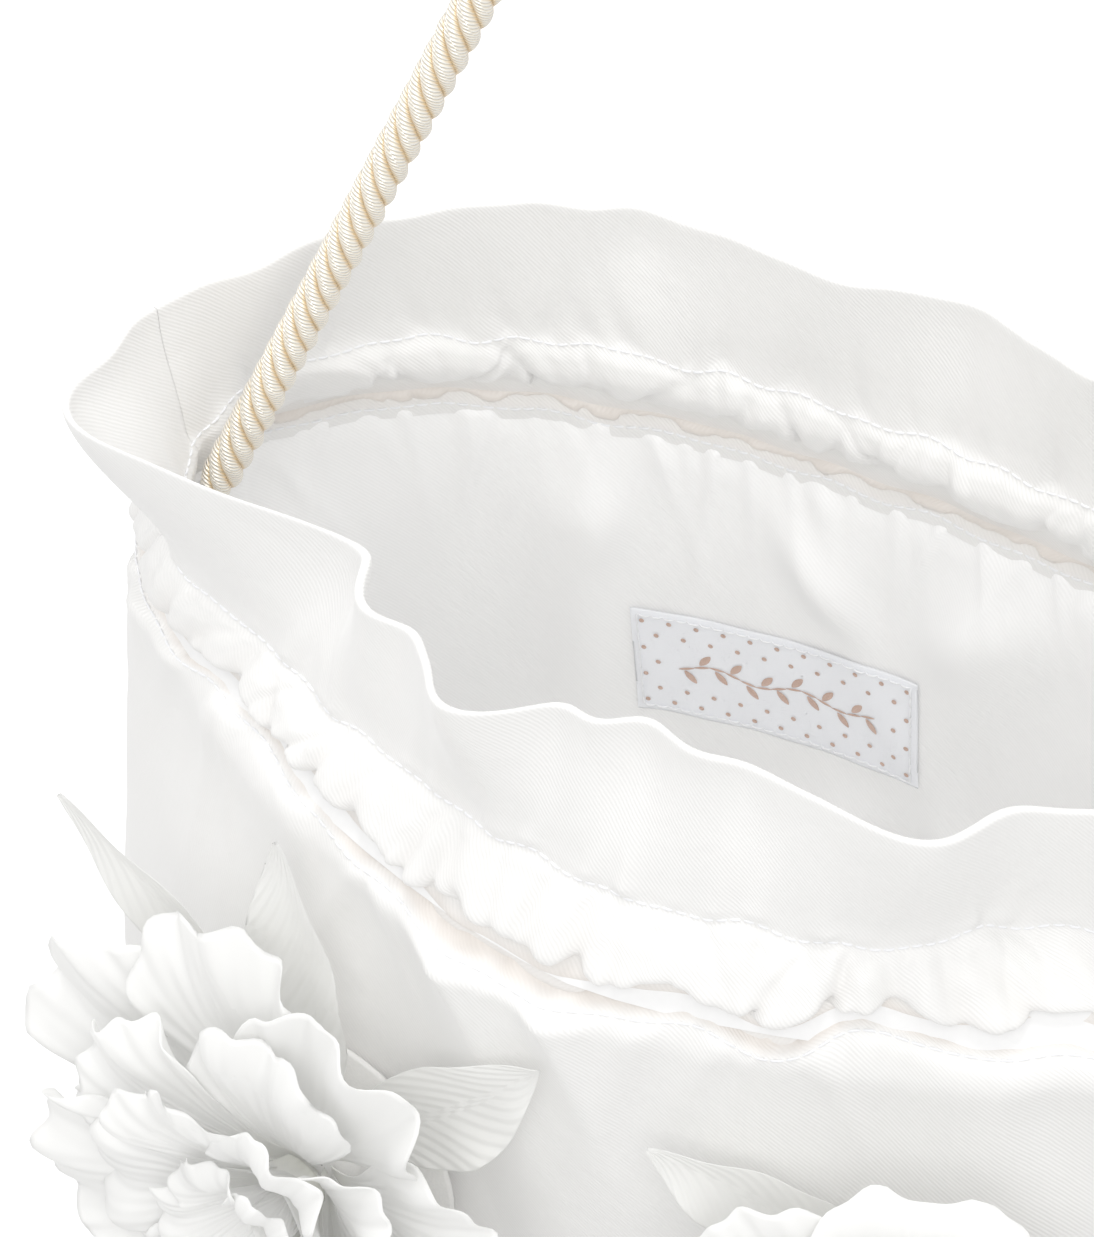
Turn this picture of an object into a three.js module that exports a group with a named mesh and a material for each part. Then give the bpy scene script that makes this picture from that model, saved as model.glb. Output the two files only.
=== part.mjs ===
// Flower girl basket: a soft satin basket on an oval base, with a gathered mouth, a standing collar,
// a twisted rope handle sewn in at both ends and two fabric flowers on the front wall.
// Units are millimetres. +Z is up, X runs along the long axis of the mouth and -Y is the front.
// The origin is the centre of the flat underside.

import * as THREE from "three";

// ---- driving dimensions ------------------------------------------------------------------------

const GAP = 0.35;

const BODY_HALF_LENGTH = 130;
const BODY_HALF_DEPTH = 73;
const BASE_COVER = 1.2;
const BASE_BOARD = 2.8;
const BASE_LINING = 1.0;
const SHELL = 1.2;
const STIFFENER = 1.2;
const LINING = 1.0;

const WALL_TOP = 134;
const CASING_BOTTOM = 134.5;
const CASING_TOP = 158;
const CASING_PUFF = 3.0;
const CASING_CLOTH = 1.0;
const ELASTIC_WIDTH = 11;
const ELASTIC_THICKNESS = 0.8;
const COLLAR_BOTTOM = 158.6;
const RIM_HEIGHT = 190;
const COLLAR_THICKNESS = 1.6;

const LABEL_WIDTH = 64;
const LABEL_HEIGHT = 29;
const LABEL_THICKNESS = 0.6;
const LABEL_CENTRE = { x: -24, z: 76 };
const LABEL_ROLL = 0.08;

const PIVOT = { x: 116.5, z: 142 };
const LEG_LEAN = 0.3578;
const HANDLE_TILT = 0.2094;
const ARC_RADIUS = 60;
const STRANDS = 4;
const STRAND_RADIUS = 1.5;
const STRAND_ORBIT = 2.35;
const TWIST_PITCH = 22;
const WIRE_RADIUS = 0.5;
const TIP_LENGTH = 10;
const TIP_THICKNESS = 3;
const EYE_RADIUS = 1.1;
const TACK_RADIUS = 0.7;

const PEONY = { x: -46, z: 68 };
const ROSE = { x: 66, z: 84 };
const PETAL_CLOTH = 0.9;
const FELT = 1.2;

const HALF_SEGMENTS = 24;
const COLLAR_SEGMENTS = 36;

// Folds of the standing collar: angle round the mouth (degrees), how far the rim moves outwards,
// and how wide the fold is (degrees).
const FOLDS = [
  [195, 9, 7],
  [212, -13, 8],
  [245, 6, 8],
  [276, -6, 12],
  [297, -5, 10],
  [317, 4, 8],
  [344, -5, 12],
  [12, 4, 8],
  [35, 3, 10],
  [62, -2, 8],
  [84, 3, 8],
  [124, 2, 8],
  [152, -4, 8],
  [168, -10, 9],
];

// Uneven pull of the gathered mouth, which the collar above it follows.
const PULLS = [
  [195, 6, 7],
  [335, -11, 11],
];

// ---- materials ---------------------------------------------------------------------------------

function cloth(name, colour, roughness) {
  const material = new THREE.MeshStandardMaterial({ color: colour, roughness, metalness: 0 });
  material.name = name;
  return material;
}

const SATIN = cloth("satin", 0xf6f4ef, 0.38);
const LINING_SATIN = cloth("lining_satin", 0xf8f7f4, 0.42);
const ROPE_YARN = cloth("rope_yarn", 0xeadfc8, 0.4);
const PETAL = cloth("petal_cloth", 0xf9f9f4, 0.75);
const FELT_CLOTH = cloth("felt", 0xf3f2ee, 0.95);
const LABEL_WEAVE = cloth("label_weave", 0xf4f6fb, 0.7);
const THREAD = cloth("thread", 0xeee6d6, 0.6);
const RUBBER = cloth("elastic", 0xf0f0f0, 0.8);
const BOARD = cloth("board", 0xcdbb9a, 0.9);
const WIRE = new THREE.MeshStandardMaterial({ color: 0xb9bcc0, roughness: 0.35, metalness: 1 });
WIRE.name = "wire";

// ---- closed solids from loops of points --------------------------------------------------------

function outward(geometry) {
  const index = geometry.getIndex();
  const p = geometry.getAttribute("position");
  const a = new THREE.Vector3();
  const b = new THREE.Vector3();
  const c = new THREE.Vector3();
  let volume = 0;
  for (let i = 0; i < index.count; i += 3) {
    a.fromBufferAttribute(p, index.getX(i));
    b.fromBufferAttribute(p, index.getX(i + 1));
    c.fromBufferAttribute(p, index.getX(i + 2));
    volume += a.dot(b.cross(c));
  }
  if (volume < 0) {
    for (let i = 0; i < index.count; i += 3) {
      const first = index.getX(i);
      index.setX(i, index.getX(i + 1));
      index.setX(i + 1, first);
    }
  }
  geometry.computeVertexNormals();
  return geometry;
}

function toGeometry(points, faces) {
  const geometry = new THREE.BufferGeometry();
  const places = points.flatMap((p) => [p.x, p.y, p.z]);
  geometry.setAttribute("position", new THREE.Float32BufferAttribute(places, 3));
  geometry.setIndex(faces);
  return outward(geometry);
}

// Joins two neighbouring loops. The second half of a loop runs back along the first half, so its
// squares are split along the other diagonal: nested faces then stay parallel.
function joinRows(faces, from, to, count, flip) {
  for (let j = 0; j < count; j += 1) {
    const k = (j + 1) % count;
    const square =
      j < count / 2
        ? [from + j, from + k, to + j, from + k, to + k, to + j]
        : [from + j, from + k, to + k, from + j, to + k, to + j];
    faces.push(...(flip ? square.reverse() : square));
  }
}

// A solid skinned over equal loops. "ring" joins the last loop to the first, "fan" closes each end
// on its middle point, and "ladder" closes a thin loop by pairing its two long sides.
function skin(loops, ends) {
  const count = loops[0].length;
  const points = loops.flat();
  const faces = [];
  for (let i = 0; i + 1 < loops.length; i += 1) {
    joinRows(faces, i * count, (i + 1) * count, count, false);
  }
  const last = (loops.length - 1) * count;
  if (ends === "ring") {
    joinRows(faces, last, 0, count, false);
  } else if (ends === "ladder") {
    for (let j = 0; j + 1 < count / 2; j += 1) {
      const m = count - 1 - j;
      faces.push(j, m, j + 1, j + 1, m, m - 1);
      faces.push(last + j, last + j + 1, last + m, last + j + 1, last + m - 1, last + m);
    }
  } else {
    [0, last].forEach((start) => {
      const middle = new THREE.Vector3();
      for (let j = 0; j < count; j += 1) {
        middle.addScaledVector(points[start + j], 1 / count);
      }
      const apex = points.push(middle) - 1;
      for (let j = 0; j < count; j += 1) {
        const k = (j + 1) % count;
        if (start === 0) {
          faces.push(apex, start + k, start + j);
        } else {
          faces.push(apex, start + j, start + k);
        }
      }
    });
  }
  return toGeometry(points, faces);
}

// An open-ended sleeve: a tube of cloth with a real channel running through it.
function sleeve(outer, inner) {
  const count = outer[0].length;
  const points = [...outer.flat(), ...inner.flat()];
  const shift = outer.length * count;
  const faces = [];
  for (let i = 0; i + 1 < outer.length; i += 1) {
    joinRows(faces, i * count, (i + 1) * count, count, false);
    joinRows(faces, shift + i * count, shift + (i + 1) * count, count, true);
  }
  const last = (outer.length - 1) * count;
  joinRows(faces, 0, shift, count, true);
  joinRows(faces, last, shift + last, count, false);
  return toGeometry(points, faces);
}

// ---- plan shape of the basket ------------------------------------------------------------------

function smooth(from, to, value) {
  const t = Math.min(1, Math.max(0, (value - from) / (to - from)));
  return t * t * (3 - 2 * t);
}

function mix(a, b, t) {
  return a + (b - a) * t;
}

// Half length, half depth and squareness of the outer face at a height, for the front or the back.
function planAt(z, front) {
  const casing = smooth(WALL_TOP, CASING_TOP, z);
  const collar = smooth(CASING_TOP, RIM_HEIGHT, z);
  let length = mix(BODY_HALF_LENGTH, 121, casing);
  length = mix(length, 126, collar);
  let depth = mix(BODY_HALF_DEPTH, front ? 61 : 69, casing);
  depth = mix(depth, front ? 57 : 70, collar);
  let power = front ? mix(2.35, 1.55, smooth(40, WALL_TOP, z)) : 2.35;
  if (front) {
    power = mix(power, 1.9, collar);
  }
  return { length, depth, power };
}

function foldAt(angle, z) {
  const degrees = THREE.MathUtils.radToDeg(angle);
  const sum = (folds) =>
    folds.reduce((total, [centre, amount, width]) => {
      const away = ((degrees - centre + 540) % 360) - 180;
      return total + amount * Math.exp(-((away / width) ** 2));
    }, 0);
  const collar = sum(FOLDS) * smooth(COLLAR_BOTTOM, RIM_HEIGHT, z);
  return collar + sum(PULLS) * smooth(WALL_TOP, COLLAR_BOTTOM, z);
}

function wallPoint(angle, z, offset) {
  const front = Math.sin(angle) < 0;
  const plan = planAt(z, front);
  const c = Math.abs(Math.cos(angle)) / (plan.length + offset);
  const s = Math.abs(Math.sin(angle)) / (plan.depth + offset);
  const radius = (c ** plan.power + s ** plan.power) ** (-1 / plan.power) + foldAt(angle, z);
  return new THREE.Vector3(radius * Math.cos(angle), radius * Math.sin(angle), z);
}

// Angles of one half of the wall, stopping short of the side seams.
function halfAngles(front, segments) {
  const seam = (GAP / 2) / BODY_HALF_LENGTH;
  const start = front ? Math.PI + seam : seam;
  const sweep = Math.PI - 2 * seam;
  return Array.from({ length: segments + 1 }, (_, i) => start + (sweep * i) / segments);
}

function ringAngles(segments) {
  return Array.from({ length: segments }, (_, i) => (2 * Math.PI * i) / segments);
}

function wallLoop(angle, heights, outerOffset, thickness) {
  const outer = heights.map((z) => wallPoint(angle, z, outerOffset));
  const inner = [...heights].reverse().map((z) => wallPoint(angle, z, outerOffset - thickness));
  return [...outer, ...inner];
}

function wallHalf(front, bottom, top, offset, thickness) {
  const heights = [bottom, 40, 72, 104, top];
  const loops = halfAngles(front, HALF_SEGMENTS).map((a) => wallLoop(a, heights, offset, thickness));
  return skin(loops, "ladder");
}

function ovalPlate(offset, bottom, thickness) {
  const shape = new THREE.Shape(
    ringAngles(2 * HALF_SEGMENTS).map((a) => {
      const p = wallPoint(a, 0, offset);
      return new THREE.Vector2(p.x, p.y);
    }),
  );
  const plate = new THREE.ExtrudeGeometry(shape, { depth: thickness, bevelEnabled: false });
  plate.translate(0, 0, bottom);
  return plate;
}

// ---- casing, elastic and collar ----------------------------------------------------------------

// Cross-section of the gathered casing: pinched at both stitch lines and puffed between them.
function casingLoop(angle, shrink) {
  const sides = 5;
  const bottom = CASING_BOTTOM + shrink * 1.6;
  const top = CASING_TOP - shrink * 1.6;
  const outer = [];
  const inner = [];
  for (let i = 0; i < sides; i += 1) {
    const t = i / (sides - 1);
    const z = mix(bottom, top, t);
    const puff = 1.1 + CASING_PUFF * Math.sin(Math.PI * t) - shrink;
    outer.push(wallPoint(angle, z, -1.2 + puff));
    inner.unshift(wallPoint(angle, z, -1.2 - puff));
  }
  return [...outer, ...inner];
}

function casingHalf(front) {
  const angles = halfAngles(front, HALF_SEGMENTS);
  return sleeve(
    angles.map((a) => casingLoop(a, 0)),
    angles.map((a) => casingLoop(a, CASING_CLOTH)),
  );
}

function elasticRing() {
  const middle = (CASING_BOTTOM + CASING_TOP) / 2;
  const heights = [middle - ELASTIC_WIDTH / 2, middle, middle + ELASTIC_WIDTH / 2];
  const offset = -1.2 + ELASTIC_THICKNESS / 2;
  const loops = ringAngles(2 * HALF_SEGMENTS).map((a) => wallLoop(a, heights, offset, ELASTIC_THICKNESS));
  return skin(loops, "ring");
}

function collarHalf(front) {
  const heights = [COLLAR_BOTTOM, 167, 178, RIM_HEIGHT];
  const offset = -0.4;
  const angles = halfAngles(front, COLLAR_SEGMENTS);
  const loops = angles.map((a) => wallLoop(a, heights, offset, COLLAR_THICKNESS));
  return skin(loops, "ladder");
}

// ---- woven label -------------------------------------------------------------------------------

function wovenLabel(linerFace) {
  const columns = 8;
  const loops = [];
  for (let i = 0; i <= columns; i += 1) {
    const x = LABEL_CENTRE.x + LABEL_WIDTH * (i / columns - 0.5);
    const middle = LABEL_CENTRE.z + (x - LABEL_CENTRE.x) * LABEL_ROLL;
    const y = BODY_HALF_DEPTH + linerFace;
    const angle = Math.atan2(y * (1 - (Math.abs(x) / BODY_HALF_LENGTH) ** 2.35) ** (1 / 2.35), x);
    const heights = [middle - LABEL_HEIGHT / 2, middle + LABEL_HEIGHT / 2];
    loops.push(wallLoop(angle, heights, linerFace - GAP, LABEL_THICKNESS));
  }
  return skin(loops, "ladder");
}

// ---- rope handle -------------------------------------------------------------------------------

const LEG_LENGTH = (PIVOT.x - ARC_RADIUS * Math.cos(LEG_LEAN)) / Math.sin(LEG_LEAN);
const ARC_ANGLE = Math.PI - 2 * LEG_LEAN;
const ROPE_LENGTH = 2 * LEG_LENGTH + ARC_RADIUS * ARC_ANGLE;
const ARC_CENTRE_Z = PIVOT.z + LEG_LENGTH * Math.cos(LEG_LEAN) - ARC_RADIUS * Math.sin(LEG_LEAN);

// Point on the upright handle's centre line and its sideways direction, at a distance from the
// left pivot.
function ropeFrame(distance) {
  const lean = LEG_LEAN;
  if (distance <= LEG_LENGTH) {
    const x = -PIVOT.x + distance * Math.sin(lean);
    const p = new THREE.Vector3(x, 0, PIVOT.z + distance * Math.cos(lean));
    return { p, out: new THREE.Vector3(-Math.cos(lean), 0, Math.sin(lean)) };
  }
  const along = Math.min(distance - LEG_LENGTH, ARC_RADIUS * ARC_ANGLE);
  const rest = distance - LEG_LENGTH - along;
  const turn = Math.PI - lean - along / ARC_RADIUS;
  const out = new THREE.Vector3(Math.cos(turn), 0, Math.sin(turn));
  const p = out.clone().multiplyScalar(ARC_RADIUS).add(new THREE.Vector3(0, 0, ARC_CENTRE_Z));
  p.add(new THREE.Vector3(Math.sin(lean) * rest, 0, -Math.cos(lean) * rest));
  return { p, out };
}

const SIDEWAYS = new THREE.Vector3(0, 1, 0);

function aroundRope(distance, angle, radius) {
  const { p, out } = ropeFrame(distance);
  p.addScaledVector(out, radius * Math.cos(angle));
  return p.addScaledVector(SIDEWAYS, radius * Math.sin(angle));
}

function ropeStrand(number) {
  const steps = Math.round((8 * (ROPE_LENGTH - 2 * TIP_LENGTH)) / TWIST_PITCH);
  const sides = 5;
  const loops = [];
  for (let i = 0; i <= steps; i += 1) {
    const distance = mix(TIP_LENGTH, ROPE_LENGTH - TIP_LENGTH, i / steps);
    const turn = (2 * Math.PI * distance) / TWIST_PITCH + (2 * Math.PI * number) / STRANDS;
    const centre = aroundRope(distance, turn, STRAND_ORBIT);
    const { out } = ropeFrame(distance);
    const loop = [];
    for (let j = 0; j < sides; j += 1) {
      const a = turn + (2 * Math.PI * j) / sides;
      const spoke = out.clone().multiplyScalar(STRAND_RADIUS * Math.cos(a));
      loop.push(spoke.addScaledVector(SIDEWAYS, STRAND_RADIUS * Math.sin(a)).add(centre));
    }
    loops.push(loop);
  }
  return skin(loops, "fan");
}

function handleWire() {
  const steps = 40;
  const loops = [];
  for (let i = 0; i <= steps; i += 1) {
    const distance = mix(TIP_LENGTH, ROPE_LENGTH - TIP_LENGTH, i / steps);
    loops.push([0, 1, 2, 3, 4].map((j) => aroundRope(distance, (2 * Math.PI * j) / 5, WIRE_RADIUS)));
  }
  return skin(loops, "fan");
}

// Tapered, bound end of the rope with an eye for the sewing tack; it leans with the leg.
function ropeTip(side) {
  const top = TIP_LENGTH * Math.cos(LEG_LEAN) - 1.6;
  const shape = new THREE.Shape();
  shape.moveTo(-3.8, top);
  shape.lineTo(-3.1, 1.2);
  shape.absarc(0, 0, 3.0, Math.PI * 0.9, Math.PI * 2.1, false);
  shape.lineTo(3.8, top);
  const eye = new THREE.Path();
  eye.absarc(0, 0, EYE_RADIUS, 0, 2 * Math.PI, true);
  shape.holes.push(eye);
  const settings = { depth: TIP_THICKNESS, bevelEnabled: false, curveSegments: 7 };
  const tip = new THREE.ExtrudeGeometry(shape, settings);
  tip.translate(0, 0, -TIP_THICKNESS / 2);
  const p = tip.getAttribute("position");
  for (let i = 0; i < p.count; i += 1) {
    const along = p.getZ(i);
    const across = p.getX(i);
    const up = p.getY(i);
    p.setXYZ(i, side * (PIVOT.x - up * Math.tan(LEG_LEAN)) + along, across, PIVOT.z + up);
  }
  tip.computeVertexNormals();
  return tip;
}

// Sewing tack: a stout thread bar from the side seam, through the eye, ending in a knot.
function tack(side) {
  const profile = [
    [1.9, 4.0],
    [1.9, 3.0],
    [TACK_RADIUS, 3.0],
    [TACK_RADIUS, -2.6],
    [1.6, -3.1],
    [1.4, -4.4],
  ];
  const sides = 10;
  const loops = profile.map(([radius, along]) =>
    ringAngles(sides).map((a) => {
      const x = side * (PIVOT.x + along);
      return new THREE.Vector3(x, radius * Math.cos(a), PIVOT.z + radius * Math.sin(a));
    }),
  );
  return skin(loops, "fan");
}

// Leans the handle back about the line through its two sewn ends.
function leanBack(geometry) {
  geometry.translate(0, 0, -PIVOT.z);
  geometry.rotateX(-HANDLE_TILT);
  return geometry.translate(0, 0, PIVOT.z);
}

// ---- fabric flowers ----------------------------------------------------------------------------

// Place on the front wall, with the flower's own axes: right, up and out from the wall.
function flowerFrame(spot) {
  const angleAt = (x) => -Math.acos(x / Math.hypot(x, frontDepth(x, spot.z)));
  const at = (x, z) => wallPoint(angleAt(x), z, 0);
  const centre = at(spot.x, spot.z);
  const right = at(spot.x + 6, spot.z).sub(at(spot.x - 6, spot.z)).normalize();
  const rise = at(spot.x, spot.z + 8).sub(at(spot.x, spot.z - 8)).normalize();
  const out = right.clone().cross(rise).normalize();
  const up = out.clone().cross(right).normalize();
  return { centre, right, up, out };
}

function frontDepth(x, z) {
  const plan = planAt(z, true);
  return plan.depth * (1 - (Math.abs(x) / plan.length) ** plan.power) ** (1 / plan.power);
}

function inFrame(frame, x, y, out) {
  const p = frame.centre.clone();
  return p.addScaledVector(frame.right, x).addScaledVector(frame.up, y).addScaledVector(frame.out, out);
}

// A cupped layer of joined petals: lobed outline, raised edge and a gentle ruffle.
function petalLayer(frame, layer) {
  const segments = layer.segments;
  const rings = [0.2, 0.62, 1];
  const ringAt = (share, lift) =>
    ringAngles(segments).map((a) => {
      const lobe = Math.abs(Math.sin((layer.lobes * a) / 2 + layer.turn)) ** 0.7;
      const edge = layer.radius * (1 - layer.notch * (1 - lobe));
      const r = share * edge;
      const cup = layer.cup * (r / layer.radius) ** 2;
      const ruffle = layer.ruffle * share ** 3 * Math.sin(layer.waves * a + 2 * layer.turn);
      return inFrame(frame, r * Math.cos(a), r * Math.sin(a), layer.base + cup + ruffle + lift);
    });
  const under = rings.map((share) => ringAt(share, 0));
  const over = [...rings].reverse().map((share) => ringAt(share, PETAL_CLOTH));
  return skin([...under, ...over], "fan");
}

function roundPad(frame, radius, bottom, thickness, dome) {
  const rows = [
    [radius, bottom],
    [radius, bottom + thickness],
    [radius * 0.6, bottom + thickness + dome],
  ];
  const loops = rows.map(([r, out]) =>
    ringAngles(16).map((a) => inFrame(frame, r * Math.cos(a), r * Math.sin(a), out)),
  );
  return skin(loops, "fan");
}

// A pointed leaf, folded a little along its midrib.
function leaf(frame, { turn, start, length, width, base, curl }) {
  const rows = [0.02, 0.2, 0.42, 0.65, 0.85, 0.985];
  const loops = rows.map((t) => {
    const half = (width / 2) * Math.sin(Math.PI * t ** 0.8) ** 0.8 + 0.3;
    const along = start + (length - start) * t;
    const rise = base + curl * t * t;
    const fold = 0.12 * half;
    const section = [
      [-half, rise + fold],
      [0, rise],
      [half, rise + fold],
      [half, rise + fold + PETAL_CLOTH],
      [0, rise + PETAL_CLOTH],
      [-half, rise + fold + PETAL_CLOTH],
    ];
    return section.map(([across, out]) => {
      const x = along * Math.cos(turn) - across * Math.sin(turn);
      const y = along * Math.sin(turn) + across * Math.cos(turn);
      return inFrame(frame, x, y, out);
    });
  });
  return skin(loops, "ladder");
}

// ---- assembly ----------------------------------------------------------------------------------

const group = new THREE.Group();
group.name = "flower_girl_basket";

function add(name, geometry, material) {
  const mesh = new THREE.Mesh(geometry, material);
  mesh.name = name;
  group.add(mesh);
}

const stiffenerOffset = -SHELL - GAP;
const liningOffset = stiffenerOffset - STIFFENER - GAP;
const boardBottom = BASE_COVER + GAP;
const floorBottom = boardBottom + BASE_BOARD + GAP;

add("base_cover", ovalPlate(0, 0, BASE_COVER), SATIN);
add("base_board", ovalPlate(-SHELL - GAP, boardBottom, BASE_BOARD), BOARD);
add("base_lining", ovalPlate(liningOffset - LINING - GAP, floorBottom, BASE_LINING), LINING_SATIN);

[true, false].forEach((front) => {
  const half = front ? "front" : "back";
  add(`shell_${half}`, wallHalf(front, boardBottom, WALL_TOP, 0, SHELL), SATIN);
  add(`stiffener_${half}`, wallHalf(front, floorBottom, WALL_TOP, stiffenerOffset, STIFFENER), BOARD);
  add(`lining_${half}`, wallHalf(front, floorBottom, WALL_TOP, liningOffset, LINING), LINING_SATIN);
  add(`casing_${half}`, casingHalf(front), SATIN);
  add(`collar_${half}`, collarHalf(front), SATIN);
});
add("casing_elastic", elasticRing(), RUBBER);
add("woven_label", wovenLabel(liningOffset - LINING), LABEL_WEAVE);

for (let i = 0; i < STRANDS; i += 1) {
  add(`rope_strand_${i + 1}`, leanBack(ropeStrand(i)), ROPE_YARN);
}
add("handle_wire", leanBack(handleWire()), WIRE);
[-1, 1].forEach((side) => {
  const name = side < 0 ? "left" : "right";
  add(`rope_tip_${name}`, leanBack(ropeTip(side)), ROPE_YARN);
  add(`anchor_tack_${name}`, tack(side), THREAD);
});

const peony = flowerFrame(PEONY);
add("peony_backing", roundPad(peony, 26, 0.8, FELT, 0.01), FELT_CLOTH);
add("peony_stem", roundPad(peony, 7, 2.4, 6.6, 0.01), FELT_CLOTH);
[
  { turn: 2.38, length: 86, width: 21, base: 2.4, curl: 7 },
  { turn: 1.8, length: 76, width: 23, base: 3.9, curl: 3 },
  { turn: 0.93, length: 75, width: 21, base: 2.4, curl: 4 },
].forEach((shape, i) => add(`peony_leaf_${i + 1}`, leaf(peony, { start: 15, ...shape }), PETAL));
[
  { radius: 60, lobes: 7, notch: 0.16, cup: 13, ruffle: 2.6, waves: 14, turn: 0.3 },
  { radius: 49, lobes: 6, notch: 0.16, cup: 19, ruffle: 2.4, waves: 12, turn: 0.9 },
  { radius: 36, lobes: 5, notch: 0.14, cup: 23, ruffle: 2.0, waves: 10, turn: 0.1 },
  { radius: 24, lobes: 5, notch: 0.14, cup: 22, ruffle: 1.4, waves: 10, turn: 0.7 },
].forEach((shape, i) => {
  add(`peony_petals_${i + 1}`, petalLayer(peony, { ...shape, base: 9.2 + 1.3 * i, segments: 32 }), PETAL);
});
add("peony_centre", roundPad(peony, 5, 15.6, 5, 4), PETAL);

const rose = flowerFrame(ROSE);
add("rose_backing", roundPad(rose, 22, 0.8, FELT, 0.01), FELT_CLOTH);
add("rose_stem", roundPad(rose, 7, 2.4, 6.6, 0.01), FELT_CLOTH);
[
  { turn: 2.5, length: 58, width: 20, base: 2.4, curl: 4 },
  { turn: -0.5, length: 58, width: 20, base: 2.4, curl: 4 },
].forEach((shape, i) => add(`rose_leaf_${i + 1}`, leaf(rose, { start: 15, ...shape }), PETAL));
[
  { radius: 46, lobes: 6, notch: 0.12, cup: 14, ruffle: 1.6, waves: 6, turn: 0.2 },
  { radius: 38, lobes: 5, notch: 0.12, cup: 20, ruffle: 1.4, waves: 5, turn: 0.8 },
  { radius: 29, lobes: 5, notch: 0.12, cup: 24, ruffle: 1.0, waves: 5, turn: 0.3 },
  { radius: 19, lobes: 3, notch: 0.12, cup: 21, ruffle: 0.7, waves: 3, turn: 0.5 },
].forEach((shape, i) => {
  add(`rose_petals_${i + 1}`, petalLayer(rose, { ...shape, base: 9.2 + 1.3 * i, segments: 28 }), PETAL);
});
add("rose_centre", roundPad(rose, 5, 16.4, 10, 4), PETAL);

export default group;
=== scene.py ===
"""Flower girl basket in white satin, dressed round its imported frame.

A soft oval basket with a gathered mouth and a standing frill, a twisted rope handle sewn in at both
ends, a woven label inside and two fabric flowers on the front. Lengths are in millimetres until a
mesh is placed, and metres after that.
"""

import logging
import math
from dataclasses import dataclass, field
from enum import Enum
from typing import Callable, Optional, Sequence

import bmesh
import bpy
import numpy as np
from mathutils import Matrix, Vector


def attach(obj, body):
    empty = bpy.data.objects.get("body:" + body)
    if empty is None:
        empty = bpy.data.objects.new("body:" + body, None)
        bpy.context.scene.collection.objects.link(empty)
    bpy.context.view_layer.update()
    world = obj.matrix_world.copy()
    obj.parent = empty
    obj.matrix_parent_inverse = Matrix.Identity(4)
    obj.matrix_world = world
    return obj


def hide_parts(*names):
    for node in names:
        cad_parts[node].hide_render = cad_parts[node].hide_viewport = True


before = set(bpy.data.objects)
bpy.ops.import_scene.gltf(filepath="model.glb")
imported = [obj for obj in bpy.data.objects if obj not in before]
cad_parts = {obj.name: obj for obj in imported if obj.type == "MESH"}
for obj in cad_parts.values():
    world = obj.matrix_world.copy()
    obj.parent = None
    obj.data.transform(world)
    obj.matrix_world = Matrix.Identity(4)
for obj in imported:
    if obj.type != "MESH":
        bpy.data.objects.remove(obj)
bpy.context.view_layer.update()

MM = 0.001
LOG = logging.getLogger("basket")
Array = np.ndarray


def smooth(start: float, end: float, value: Array) -> Array:
    """Smooth step from 0 at start to 1 at end."""
    t = np.clip((np.asarray(value, float) - start) / (end - start), 0.0, 1.0)
    return t * t * (3.0 - 2.0 * t)


def mix(a: Array, b: Array, t: Array) -> Array:
    """Straight blend from a to b."""
    return a + (b - a) * t


# ---- camera, floor and light ---------------------------------------------------------------------


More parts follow.
